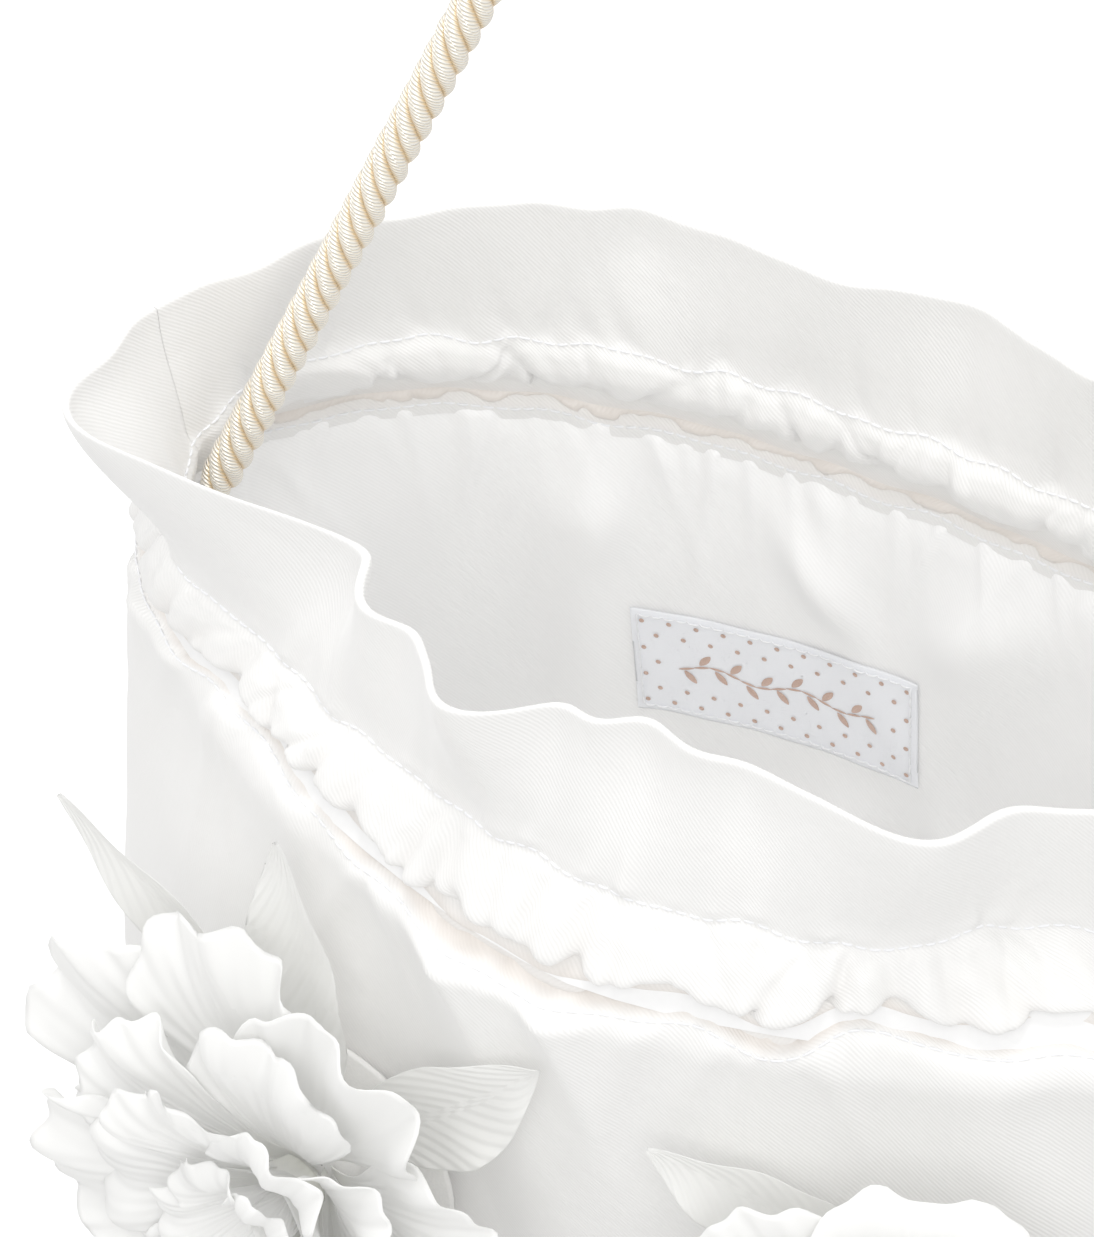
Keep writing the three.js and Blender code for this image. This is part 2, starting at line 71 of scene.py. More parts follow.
@dataclass(frozen=True)
class Studio:
    """Camera, pale floor and soft light.

    The camera looks down into the mouth from the front right.
    """

    azimuth: float = 28.5
    elevation: float = 46.0
    distance: float = 0.81
    aim: tuple[float, float, float] = (-0.028, -0.0254, 0.1779)
    lens: float = 133.7
    floor_size: float = 6.0

    def place_camera(self) -> None:
        """Makes the scene's camera."""
        turn = math.radians(self.azimuth)
        lift = math.radians(self.elevation)
        back = Vector(
            (
                math.sin(turn) * math.cos(lift),
                -math.cos(turn) * math.cos(lift),
                math.sin(lift),
            )
        )
        data = bpy.data.cameras.new("camera")
        data.lens = self.lens
        data.sensor_width = 36.0
        data.clip_start = 0.01
        camera = bpy.data.objects.new("camera", data)
        camera.location = Vector(self.aim) + back * self.distance
        camera.rotation_mode = "QUATERNION"
        camera.rotation_quaternion = (-back).to_track_quat("-Z", "Y")
        bpy.context.scene.collection.objects.link(camera)
        bpy.context.scene.camera = camera

    def lay_floor(self, finish: bpy.types.Material) -> None:
        """Lays the plain floor.

        Args:
            finish: the floor's material.
        """
        shape = bmesh.new()
        bmesh.ops.create_grid(shape, x_segments=2, y_segments=2, size=self.floor_size / 2)
        mesh = bpy.data.meshes.new("floor")
        shape.to_mesh(mesh)
        shape.free()
        mesh.materials.append(finish)
        floor = bpy.data.objects.new("floor", mesh)
        floor.location.z = -0.0004
        bpy.context.scene.collection.objects.link(floor)

    def light(self) -> None:
        """Hangs the soft boxes and sets the pale surround."""
        world = bpy.data.worlds.new("surround")
        bpy.context.scene.world = world
        world.use_nodes = True
        sky = world.node_tree.nodes["Background"]
        sky.inputs["Color"].default_value = (1.0, 1.0, 1.0, 1.0)
        path = world.node_tree.nodes.new("ShaderNodeLightPath")
        level = world.node_tree.nodes.new("ShaderNodeMapRange")
        level.inputs["To Min"].default_value = 0.70
        level.inputs["To Max"].default_value = 1.0
        world.node_tree.links.new(path.outputs["Is Camera Ray"], level.inputs["Value"])
        world.node_tree.links.new(level.outputs["Result"], sky.inputs["Strength"])
        for name, place, size, power, tint in (
            ("key_box", (0.4, -0.86, 1.1), 1.0, 9.6, (1.0, 0.995, 0.985)),
            ("mouth_box", (-0.02, 0.02, 1.25), 0.35, 4.8, (1.0, 0.997, 0.99)),
            ("side_box", (-1.1, 0.0, 0.9), 0.6, 5.0, (1.0, 0.995, 0.985)),
            ("back_box", (0.3, 1.3, 0.9), 0.9, 4.0, (1.0, 0.997, 0.99)),
        ):
            data = bpy.data.lights.new(name, "AREA")
            data.energy = power
            data.size = size
            data.color = tint
            lamp = bpy.data.objects.new(name, data)
            lamp.location = place
            aim = Vector((0.0, 0.0, 0.12)) - Vector(place)
            lamp.rotation_mode = "QUATERNION"
            lamp.rotation_quaternion = aim.to_track_quat("-Z", "Y")
            bpy.context.scene.collection.objects.link(lamp)
        bpy.context.scene.view_settings.view_transform = "Standard"
        bpy.context.scene.view_settings.look = "None"
        bpy.context.scene.view_settings.gamma = 1.7


# ---- shared shader groups and finishes -----------------------------------------------------------


class Effects:
    """Shader groups that several finishes share."""

    def __init__(self) -> None:
        """Builds every group once."""
        self.twill = self._twill()
        self.winding = self._winding()

    @staticmethod
    def _group(
        name: str, inputs: Sequence[tuple[str, str, float]], outputs: Sequence[tuple[str, str]]
    ) -> tuple[bpy.types.ShaderNodeTree, bpy.types.Node, bpy.types.Node]:
        """Starts a shader group.

        Args:
            name: the group's name.
            inputs: name, socket type and default of each input.
            outputs: name and socket type of each output.

        Returns:
            The group, its input node and its output node.
        """
        group = bpy.data.node_groups.new(name, "ShaderNodeTree")
        for label, kind, value in inputs:
            socket = group.interface.new_socket(name=label, in_out="INPUT", socket_type=kind)
            if kind == "NodeSocketFloat":
                socket.default_value = value
        for label, kind in outputs:
            group.interface.new_socket(name=label, in_out="OUTPUT", socket_type=kind)
        return group, group.nodes.new("NodeGroupInput"), group.nodes.new("NodeGroupOutput")

    def _twill(self) -> bpy.types.ShaderNodeTree:
        """Fine slanting ribs of a satin twill, with slubs and soft crumples; its Shade output is painted
        shade in the low parts of the ribs and slubs.
        """
        group, entry, leave = self._group(
            "twill_weave",
            [
                ("Vector", "NodeSocketVector", 0.0),
                ("Rib Scale", "NodeSocketFloat", 1100.0),
                ("Rib Depth", "NodeSocketFloat", 0.35),
                ("Crumple", "NodeSocketFloat", 0.25),
            ],
            [("Shade", "NodeSocketFloat"), ("Normal", "NodeSocketVector")],
        )
        links = group.links
        ribs = group.nodes.new("ShaderNodeTexWave")
        ribs.wave_type = "BANDS"
        ribs.bands_direction = "DIAGONAL"
        ribs.inputs["Distortion"].default_value = 1.1
        ribs.inputs["Detail"].default_value = 2.0
        ribs.inputs["Detail Scale"].default_value = 0.6
        links.new(entry.outputs["Vector"], ribs.inputs["Vector"])
        links.new(entry.outputs["Rib Scale"], ribs.inputs["Scale"])
        slubs = group.nodes.new("ShaderNodeTexNoise")
        slubs.inputs["Scale"].default_value = 900.0
        slubs.inputs["Detail"].default_value = 3.0
        links.new(entry.outputs["Vector"], slubs.inputs["Vector"])
        crumple = group.nodes.new("ShaderNodeTexNoise")
        crumple.inputs["Scale"].default_value = 70.0
        crumple.inputs["Detail"].default_value = 3.0
        crumple.inputs["Distortion"].default_value = 0.6
        links.new(entry.outputs["Vector"], crumple.inputs["Vector"])
        height = group.nodes.new("ShaderNodeMath")
        height.operation = "MULTIPLY_ADD"
        height.inputs[1].default_value = 0.5
        links.new(slubs.outputs["Fac"], height.inputs[0])
        links.new(ribs.outputs["Fac"], height.inputs[2])
        fine = group.nodes.new("ShaderNodeBump")
        fine.inputs["Distance"].default_value = 0.00006
        links.new(height.outputs[0], fine.inputs["Height"])
        links.new(entry.outputs["Rib Depth"], fine.inputs["Strength"])
        broad = group.nodes.new("ShaderNodeBump")
        broad.inputs["Distance"].default_value = 0.0012
        links.new(crumple.outputs["Fac"], broad.inputs["Height"])
        links.new(entry.outputs["Crumple"], broad.inputs["Strength"])
        links.new(fine.outputs["Normal"], broad.inputs["Normal"])
        # Painted shade: the colour darkens where the ribs and slubs lie low.
        shade = group.nodes.new("ShaderNodeMapRange")
        shade.inputs["From Max"].default_value = 1.5
        shade.inputs["To Min"].default_value = 0.92
        shade.inputs["To Max"].default_value = 1.0
        links.new(height.outputs[0], shade.inputs["Value"])
        links.new(shade.outputs["Result"], leave.inputs["Shade"])
        links.new(broad.outputs["Normal"], leave.inputs["Normal"])
        return group

    def _winding(self) -> bpy.types.ShaderNodeTree:
        """Fine yarn wound side by side round a strand; its Shade output is painted shade between the wraps,
        with some random tone along the strands.
        """
        group, entry, leave = self._group(
            "yarn_winding",
            [
                ("Vector", "NodeSocketVector", 0.0),
                ("Turns", "NodeSocketFloat", 700.0),
                ("Depth", "NodeSocketFloat", 0.8),
            ],
            [("Shade", "NodeSocketFloat"), ("Normal", "NodeSocketVector")],
        )
        links = group.links
        wraps = group.nodes.new("ShaderNodeTexWave")
        wraps.wave_type = "BANDS"
        wraps.bands_direction = "X"
        wraps.inputs["Distortion"].default_value = 2.2
        wraps.inputs["Detail"].default_value = 3.0
        wraps.inputs["Detail Scale"].default_value = 0.12
        links.new(entry.outputs["Vector"], wraps.inputs["Vector"])
        links.new(entry.outputs["Turns"], wraps.inputs["Scale"])
        stretch = group.nodes.new("ShaderNodeVectorMath")
        stretch.operation = "MULTIPLY"
        stretch.inputs[1].default_value = (1.0, 0.12, 1.0)
        links.new(entry.outputs["Vector"], stretch.inputs[0])
        strands = group.nodes.new("ShaderNodeTexNoise")
        strands.inputs["Scale"].default_value = 1500.0
        strands.inputs["Detail"].default_value = 2.0
        links.new(stretch.outputs[0], strands.inputs["Vector"])
        height = group.nodes.new("ShaderNodeMath")
        height.operation = "MULTIPLY_ADD"
        height.inputs[1].default_value = 1.1
        links.new(strands.outputs["Fac"], height.inputs[0])
        links.new(wraps.outputs["Fac"], height.inputs[2])
        bump = group.nodes.new("ShaderNodeBump")
        bump.inputs["Distance"].default_value = 0.0003
        links.new(height.outputs[0], bump.inputs["Height"])
        links.new(entry.outputs["Depth"], bump.inputs["Strength"])
        # Painted shade: the colour darkens between the wraps.
        shade = group.nodes.new("ShaderNodeMapRange")
        shade.inputs["From Min"].default_value = 0.3
        shade.inputs["From Max"].default_value = 1.9
        links.new(height.outputs[0], shade.inputs["Value"])
        links.new(shade.outputs["Result"], leave.inputs["Shade"])
        links.new(bump.outputs["Normal"], leave.inputs["Normal"])
        return group


@dataclass(frozen=True)
class Satin:
    """Bright smooth cloth with a fine slanting rib, painted shade in its rib grooves and in its creases."""

    name: str
    colour: tuple[float, float, float]
    roughness: float
    rib_depth: float
    crumple: float
    sheen: float = 0.25

    def make(self, effects: Effects) -> bpy.types.Material:
        """Builds the material.

        Args:
            effects: the shared shader groups.

        Returns:
            The finished material.
        """
        material, nodes, links, shader = new_material(self.name)
        weave = nodes.new("ShaderNodeGroup")
        weave.node_tree = effects.twill
        weave.inputs["Rib Scale"].default_value = 620.0
        weave.inputs["Rib Depth"].default_value = self.rib_depth
        weave.inputs["Crumple"].default_value = self.crumple
        place = nodes.new("ShaderNodeUVMap")
        place.uv_map = "cloth"
        links.new(place.outputs["UV"], weave.inputs["Vector"])
        # Multiplies the colour by the weave's painted groove shade.
        tint = nodes.new("ShaderNodeMix")
        tint.data_type = "RGBA"
        tint.blend_type = "MULTIPLY"
        tint.inputs["Factor"].default_value = 1.0
        tint.inputs["A"].default_value = (*self.colour, 1.0)
        links.new(weave.outputs["Shade"], tint.inputs["B"])
        # Painted shade: warm darkening in the band's hollow and cuts, from the per-point shade attribute.
        fold = nodes.new("ShaderNodeAttribute")
        fold.attribute_name = "painted_shade"
        shade_node = nodes.new("ShaderNodeMix")
        shade_node.data_type = "RGBA"
        shade_node.inputs["B"].default_value = (0.62, 0.54, 0.47, 1.0)
        links.new(tint.outputs["Result"], shade_node.inputs["A"])
        links.new(fold.outputs["Fac"], shade_node.inputs["Factor"])
        links.new(shade_node.outputs["Result"], shader.inputs["Base Color"])
        links.new(weave.outputs["Normal"], shader.inputs["Normal"])
        shader.inputs["Roughness"].default_value = self.roughness
        shader.inputs["Sheen Weight"].default_value = self.sheen
        shader.inputs["Sheen Roughness"].default_value = 0.4
        return material


@dataclass(frozen=True)
class Yarn:
    """Silky yarn wound round a strand, with painted shade between its wraps and where the strands press
    together.
    """

    name: str
    light: tuple[float, float, float]
    dark: tuple[float, float, float]
    turns: float
    roughness: float = 0.2

    def make(self, effects: Effects) -> bpy.types.Material:
        """Builds the material.

        Args:
            effects: the shared shader groups.

        Returns:
            The finished material.
        """
        material, nodes, links, shader = new_material(self.name)
        gloss = nodes.new("ShaderNodeMapRange")
        gloss.inputs["To Min"].default_value = self.roughness + 0.12
        gloss.inputs["To Max"].default_value = self.roughness
        wound = nodes.new("ShaderNodeGroup")
        wound.node_tree = effects.winding
        wound.inputs["Turns"].default_value = self.turns
        place = nodes.new("ShaderNodeUVMap")
        place.uv_map = "cloth"
        links.new(place.outputs["UV"], wound.inputs["Vector"])
        # Painted shade: the yarn goes from the light tone on the wraps to the dark tone between them.
        ramp = nodes.new("ShaderNodeMix")
        ramp.data_type = "RGBA"
        ramp.inputs["A"].default_value = (*self.dark, 1.0)
        ramp.inputs["B"].default_value = (*self.light, 1.0)
        links.new(wound.outputs["Shade"], ramp.inputs["Factor"])
        # Painted shade: golden where the strands press together, dark brown deepest in the crevices.
        painted_shade = nodes.new("ShaderNodeAttribute")
        painted_shade.attribute_name = "painted_shade"
        strand_shade_ramp = nodes.new("ShaderNodeValToRGB")
        strand_shade_ramp.color_ramp.elements[0].color = (1.0, 1.0, 1.0, 1.0)
        strand_shade_ramp.color_ramp.elements[1].color = (0.26, 0.11, 0.03, 1.0)
        gold = strand_shade_ramp.color_ramp.elements.new(0.44)
        gold.color = (0.90, 0.70, 0.42, 1.0)
        links.new(painted_shade.outputs["Fac"], strand_shade_ramp.inputs["Fac"])
        depth = nodes.new("ShaderNodeMix")
        depth.data_type = "RGBA"
        depth.blend_type = "MULTIPLY"
        depth.inputs["Factor"].default_value = 1.0
        links.new(ramp.outputs["Result"], depth.inputs["A"])
        links.new(strand_shade_ramp.outputs["Color"], depth.inputs["B"])
        links.new(depth.outputs["Result"], shader.inputs["Base Color"])
        links.new(wound.outputs["Normal"], shader.inputs["Normal"])
        links.new(wound.outputs["Shade"], gloss.inputs["Value"])
        links.new(gloss.outputs["Result"], shader.inputs["Roughness"])
        shader.inputs["Metallic"].default_value = 0.42
        shader.inputs["Specular IOR Level"].default_value = 0.9
        return material


@dataclass(frozen=True)
class PetalCloth:
    """Matt stiffened cloth pressed with fan-shaped veins, with painted shade towards the petal bases."""

    name: str
    colour: tuple[float, float, float]
    veins: float = 1.0

    def make(self, effects: Effects) -> bpy.types.Material:
        """Builds the material.

        Args:
            effects: the shared shader groups; not used here.

        Returns:
            The finished material.
        """
        material, nodes, links, shader = new_material(self.name)
        place = nodes.new("ShaderNodeUVMap")
        place.uv_map = "cloth"
        fan = nodes.new("ShaderNodeTexWave")
        fan.wave_type = "BANDS"
        fan.bands_direction = "X"
        fan.inputs["Scale"].default_value = 2.2
        fan.inputs["Distortion"].default_value = 1.6
        fan.inputs["Detail"].default_value = 2.0
        fan.inputs["Detail Scale"].default_value = 0.7
        links.new(place.outputs["UV"], fan.inputs["Vector"])
        ribs = nodes.new("ShaderNodeBump")
        ribs.inputs["Strength"].default_value = 0.34 * self.veins
        ribs.inputs["Distance"].default_value = 0.0007
        links.new(fan.outputs["Fac"], ribs.inputs["Height"])
        spot = nodes.new("ShaderNodeTexCoord")
        grain = nodes.new("ShaderNodeTexNoise")
        grain.inputs["Scale"].default_value = 1400.0
        grain.inputs["Detail"].default_value = 3.0
        links.new(spot.outputs["Object"], grain.inputs["Vector"])
        fine = nodes.new("ShaderNodeBump")
        fine.inputs["Strength"].default_value = 0.25
        fine.inputs["Distance"].default_value = 0.0001
        links.new(grain.outputs["Fac"], fine.inputs["Height"])
        links.new(ribs.outputs["Normal"], fine.inputs["Normal"])
        links.new(fine.outputs["Normal"], shader.inputs["Normal"])
        # Painted shade: yellowish grey towards the petal bases and the lower heart, where the flower shades
        # itself.
        shade_node = nodes.new("ShaderNodeAttribute")
        shade_node.attribute_name = "painted_shade"
        tint = nodes.new("ShaderNodeMix")
        tint.data_type = "RGBA"
        tint.inputs["A"].default_value = (*self.colour, 1.0)
        tint.inputs["B"].default_value = (0.80, 0.80, 0.66, 1.0)
        links.new(shade_node.outputs["Fac"], tint.inputs["Factor"])
        links.new(tint.outputs["Result"], shader.inputs["Base Color"])
        shader.inputs["Roughness"].default_value = 0.62
        shader.inputs["Sheen Weight"].default_value = 0.2
        shader.inputs["Specular IOR Level"].default_value = 0.3
        glow = nodes.new("ShaderNodeBsdfTranslucent")
        glow.inputs["Color"].default_value = (*self.colour, 1.0)
        blend = nodes.new("ShaderNodeMixShader")
        blend.inputs["Fac"].default_value = 0.3
        links.new(shader.outputs["BSDF"], blend.inputs[1])
        links.new(glow.outputs["BSDF"], blend.inputs[2])
        links.new(blend.outputs["Shader"], nodes["Material Output"].inputs["Surface"])
        return material


@dataclass(frozen=True)
class PlainFinish:
    """A simple grained finish on Object coordinates."""

    name: str
    colour: tuple[float, float, float]
    roughness: float
    metallic: float = 0.0
    grain_scale: float = 600.0
    grain: float = 0.2
    contrast: float = 0.08

    def make(self, effects: Effects) -> bpy.types.Material:
        """Builds the material.

        Args:
            effects: the shared shader groups; not used here.

        Returns:
            The finished material.
        """
        material, nodes, links, shader = new_material(self.name)
        spot = nodes.new("ShaderNodeTexCoord")
        grain = nodes.new("ShaderNodeTexNoise")
        grain.inputs["Scale"].default_value = self.grain_scale
        grain.inputs["Detail"].default_value = 4.0
        links.new(spot.outputs["Object"], grain.inputs["Vector"])
        shade = nodes.new("ShaderNodeMapRange")
        shade.inputs["To Min"].default_value = 1.0 - self.contrast
        shade.inputs["To Max"].default_value = 1.0
        links.new(grain.outputs["Fac"], shade.inputs["Value"])
        tint = nodes.new("ShaderNodeMix")
        tint.data_type = "RGBA"
        tint.blend_type = "MULTIPLY"
        tint.inputs["Factor"].default_value = 1.0
        tint.inputs["A"].default_value = (*self.colour, 1.0)
        links.new(shade.outputs["Result"], tint.inputs["B"])
        links.new(tint.outputs["Result"], shader.inputs["Base Color"])
        bump = nodes.new("ShaderNodeBump")
        bump.inputs["Strength"].default_value = self.grain
        bump.inputs["Distance"].default_value = 0.0002
        links.new(grain.outputs["Fac"], bump.inputs["Height"])
        links.new(bump.outputs["Normal"], shader.inputs["Normal"])
        shader.inputs["Roughness"].default_value = self.roughness
        shader.inputs["Metallic"].default_value = self.metallic
        return material


def new_material(
    name: str,
) -> tuple[bpy.types.Material, bpy.types.Nodes, bpy.types.NodeLinks, bpy.types.Node]:
    """Starts a node material.

    Args:
        name: the material's name.

    Returns:
        The material, its nodes, its links and its Principled shader.
    """
    material = bpy.data.materials.new(name)
    material.use_nodes = True
    tree = material.node_tree
    return material, tree.nodes, tree.links, tree.nodes["Principled BSDF"]


class Finishes:
    """Every finish on the basket."""

    def __init__(self) -> None:
        """Builds all the materials."""
        effects = Effects()
        # Painted shade and light: the outer satin is painted darker and the lining lighter than the same
        # white cloth, to even out how inside and outside are lit.
        self.satin = Satin("satin", (0.80, 0.793, 0.775), 0.34, 0.8, 0.35).make(effects)
        self.lining = Satin("lining_satin", (0.98, 0.978, 0.972), 0.33, 0.6, 0.25).make(effects)
        self.rope = Yarn("rope_yarn", (1.0, 0.98, 0.91), (0.80, 0.68, 0.48), 420.0).make(effects)
        self.petal = PetalCloth("petal_cloth", (0.95, 0.95, 0.935)).make(effects)
        self.leaf = PetalCloth("leaf_cloth", (0.94, 0.94, 0.915), 1.3).make(effects)
        self.label = PlainFinish("label_weave", (0.90, 0.92, 0.97), 0.7, 0.0, 2400.0, 0.3, 0.05).make(effects)
        rose_gold = PlainFinish("rose_gold_thread", (0.62, 0.36, 0.26), 0.34, 0.55, 3000.0, 0.6, 0.5)
        self.metal_thread = rose_gold.make(effects)
        self.thread = PlainFinish("sewing_thread", (0.86, 0.87, 0.90), 0.6, 0.0, 2500.0, 0.4).make(effects)
        self.felt = PlainFinish("felt", (0.82, 0.81, 0.78), 0.95, 0.0, 1500.0, 0.7, 0.15).make(effects)
        self.board = PlainFinish("board", (0.55, 0.44, 0.3), 0.9).make(effects)
        self.elastic = PlainFinish("elastic", (0.85, 0.85, 0.85), 0.8).make(effects)
        self.wire = PlainFinish("wire", (0.5, 0.51, 0.53), 0.35, 1.0).make(effects)
        self.floor = StageFloor("floor", 0.5, 0.9).make()


@dataclass(frozen=True)
class StageFloor:
    """Pale seamless floor: it shows white and throws back a gentler light."""

    name: str
    bounce: float
    glow: float

    def make(self) -> bpy.types.Material:
        """Builds the material.

        Returns:
            The finished material.
        """
        material, nodes, links, shader = new_material(self.name)
        shader.inputs["Base Color"].default_value = (self.bounce, self.bounce, self.bounce, 1.0)
        shader.inputs["Roughness"].default_value = 0.95
        shader.inputs["Emission Color"].default_value = (1.0, 1.0, 1.0, 1.0)
        path = nodes.new("ShaderNodeLightPath")
        level = nodes.new("ShaderNodeMath")
        level.operation = "MULTIPLY"
        level.inputs[1].default_value = self.glow
        links.new(path.outputs["Is Camera Ray"], level.inputs[0])
        links.new(level.outputs[0], shader.inputs["Emission Strength"])
        return material


# ---- making cloth meshes -------------------------------------------------------------------------


@dataclass
class Patch:
    """Points of a piece of cloth laid out in columns and rows.

    Attributes:
        points: place of each point, in millimetres, shaped (columns, rows, 3).
        flat: place of each point on the flat cloth, in millimetres, shaped (columns, rows, 2).
        painted_shade: the painted shade each point gets, from 0 to 1, or None.
    """

    points: Array
    flat: Array
    painted_shade: Optional[Array] = None


def sew(
    name: str,
    patches: Sequence[Patch],
    finish: bpy.types.Material,
    thickness: float = 0.0,
    close: bool = False,
) -> bpy.types.Object:
    """Makes one piece from its patches.

    Args:
        name: the piece's name.
        patches: the cloth patches, each a grid.
        finish: the piece's material.
        thickness: the cloth's thickness in millimetres, or 0 for a single skin.
        close: True where a patch's first and last columns meet.

    Returns:
        The piece's object.
    """
    shape = bmesh.new()
    uv = shape.loops.layers.uv.new("cloth")
    # Per-point amount of painted shade, which the finishes darken by.
    depth = shape.verts.layers.float.new("painted_shade")
    for patch in patches:
        columns, rows = patch.points.shape[:2]
        made = bmesh.ops.create_grid(shape, x_segments=columns - 1, y_segments=rows - 1, size=0.5)
        for vert in made["verts"]:
            i = round((vert.co.x + 0.5) * (columns - 1))
            j = round((vert.co.y + 0.5) * (rows - 1))
            vert.co = patch.points[i, j] * MM
            if patch.painted_shade is not None:
                vert[depth] = patch.painted_shade[i, j]
            for loop in vert.link_loops:
                loop[uv].uv = patch.flat[i, j] * MM
    if close:
        bmesh.ops.remove_doubles(shape, verts=shape.verts[:], dist=1e-6)
        bmesh.ops.recalc_face_normals(shape, faces=shape.faces[:])
    if thickness:
        bmesh.ops.solidify(shape, geom=shape.faces[:], thickness=thickness * MM)
    for face in shape.faces:
        face.smooth = True
    mesh = bpy.data.meshes.new(name)
    shape.to_mesh(mesh)
    shape.free()
    mesh.materials.append(finish)
    piece = bpy.data.objects.new(name, mesh)
    bpy.context.scene.collection.objects.link(piece)
    return piece


def grid(columns: int, rows: int) -> tuple[Array, Array]:
    """Column and row shares from 0 to 1 of a grid of points."""
    return np.meshgrid(np.linspace(0, 1, columns), np.linspace(0, 1, rows), indexing="ij")


def flat_lengths(points: Array) -> Array:
    """Lays a grid of points out flat by the mean length of its rows and columns.

    Args:
        points: a grid of points in millimetres.

    Returns:
        The flat place of each point in millimetres.
    """
    across = np.linalg.norm(np.diff(points, axis=0), axis=2).mean(axis=1)
    along = np.linalg.norm(np.diff(points, axis=1), axis=2).mean(axis=0)
    x = np.concatenate([[0.0], np.cumsum(across)])
    y = np.concatenate([[0.0], np.cumsum(along)])
    return np.stack(np.meshgrid(x, y, indexing="ij"), axis=2)


@dataclass(frozen=True)
class Puckers:
    """Irregular small folds set side by side along a gathered seam."""

    seed: int
    pitch: float
    width: tuple[float, float]
    depth: tuple[float, float]
    slant: float

    def lift(self, along: Array, across: Array, length: float) -> Array:
        """Height of the folds.

        Args:
            along: distance along the seam in millimetres.
            across: distance away from the seam in millimetres.
            length: the seam's full length, where it meets itself.

        Returns:
            The height at each place in millimetres.
        """
        rng = np.random.default_rng(self.seed)
        count = max(3, round(length / self.pitch))
        places = (np.arange(count) + rng.uniform(-0.38, 0.38, count)) * length / count
        widths = rng.uniform(*self.width, count)
        depths = rng.uniform(*self.depth, count)
        slants = rng.uniform(-self.slant, self.slant, count)
        total = np.zeros_like(along)
        for place, width, depth, slant in zip(places, widths, depths, slants):
            away = (along - place - slant * across + length / 2) % length - length / 2
            total += depth * np.exp(-((away / width) ** 2))
        return total


def ripple(along: Array, length: float, seed: int, waves: Sequence[int]) -> Array:
    """Slow seeded ripple round a closed seam, about one millimetre high."""
    rng = np.random.default_rng(seed)
    total = np.zeros_like(along)
    for count in waves:
        total += rng.uniform(0.5, 1.0) * np.sin(2 * np.pi * count * along / length + rng.uniform(0, 6.28))
    return total / math.sqrt(len(waves))


# ---- the basket's cloths -------------------------------------------------------------------------


class Half(Enum):
    """The two halves of the basket's wall, which meet at the side seams."""

    FRONT = "front"
    BACK = "back"


@dataclass
class BasketShape:
    """Plan and profile of the basket."""

    half_length: float = 130.0
    half_depth: float = 73.0
    wall_top: float = 134.0
    casing_bottom: float = 136.0
    casing_top: float = 158.0
    rim: float = 190.0
    folds: tuple[tuple[float, float, float], ...] = (
        (194, 11, 5.5),
        (212, -14, 7.5),
        (229, -3, 5),
        (245, 7, 7),
        (259, -3, 6),
        (276, -5, 9),
        (297, -5, 8),
        (317, 5, 7),
        (344, -5, 12),
        (12, 4, 8),
        (35, 3, 10),
        (62, -2, 8),
        (84, 3, 8),
        (124, 2, 8),
        (152, -4, 8),
        (168, -10, 9),
    )
    pulls: tuple[tuple[float, float, float], ...] = ((195, 6, 7), (335, -11, 11))
    turns: Array = field(init=False)
    lengths: Array = field(init=False)

    def __post_init__(self) -> None:
        """Measures the distance round the mouth against the angle."""
        self.turns = np.linspace(0, 2 * np.pi, 1441)
        ring = self.place(self.turns, np.full_like(self.turns, 147.0), 0.0)
        steps = np.linalg.norm(np.diff(ring, axis=0), axis=1)
        self.lengths = np.concatenate([[0.0], np.cumsum(steps)])

    @property
    def girth(self) -> float:
        """Distance round the gathered mouth."""
        return float(self.lengths[-1])

    def along(self, turn: Array) -> Array:
        """Distance round the mouth at an angle."""
        return np.interp(np.mod(turn, 2 * np.pi), self.turns, self.lengths)

    def turn_at(self, along: Array) -> Array:
        """Angle at a distance round the mouth."""
        return np.interp(along, self.lengths, self.turns)

    def fold(self, turn: Array, z: Array) -> Array:
        """How far the mouth's uneven pull and the frill's large folds move it outwards."""
        degrees = np.degrees(turn)

        def total(folds: Sequence[tuple[float, float, float]]) -> Array:
            """Sum of a set of folds at every angle."""
            away = [((degrees - centre + 540) % 360 - 180) / width for centre, _, width in folds]
            return sum(amount * np.exp(-(a**2)) for a, (_, amount, _) in zip(away, folds))

        frill = total(self.folds) * smooth(self.casing_top, self.rim, z)
        return frill + total(self.pulls) * smooth(self.wall_top, self.casing_top, z)

    def place(self, turn: Array, z: Array, offset: Array) -> Array:
        """Point on the basket's wall.

        Args:
            turn: angle round the basket.
            z: height.
            offset: distance outwards from the wall's outer face.

        Returns:
            The points in millimetres.
        """
        front = np.sin(turn) < 0
        casing = smooth(self.wall_top, self.casing_top, z)
        collar = smooth(self.casing_top, self.rim, z)
        length = mix(mix(self.half_length, 121.0, casing), 126.0, collar)
        depth = mix(self.half_depth, np.where(front, 61.0, 69.0), casing)
        depth = mix(depth, np.where(front, 57.0, 70.0), collar)
        power = mix(mix(2.35, 1.55, smooth(40, self.wall_top, z)), 1.9, collar)
        power = np.where(front, power, 2.35)
        c = np.abs(np.cos(turn)) / (length + offset)
        s = np.abs(np.sin(turn)) / (depth + offset)
        radius = (c**power + s**power) ** (-1 / power) + self.fold(turn, z)
        return np.stack([radius * np.cos(turn), radius * np.sin(turn), z + 0 * radius], axis=-1)

    def half_turns(self, half: Half, columns: int) -> Array:
        """Angles of evenly spaced columns over one half of the wall."""
        seam = float(self.along(np.array([math.pi]))[0])
        ends = (0.0, seam) if half is Half.BACK else (seam, self.girth)
        return self.turn_at(np.linspace(ends[0] + 0.05, ends[1] - 0.05, columns))


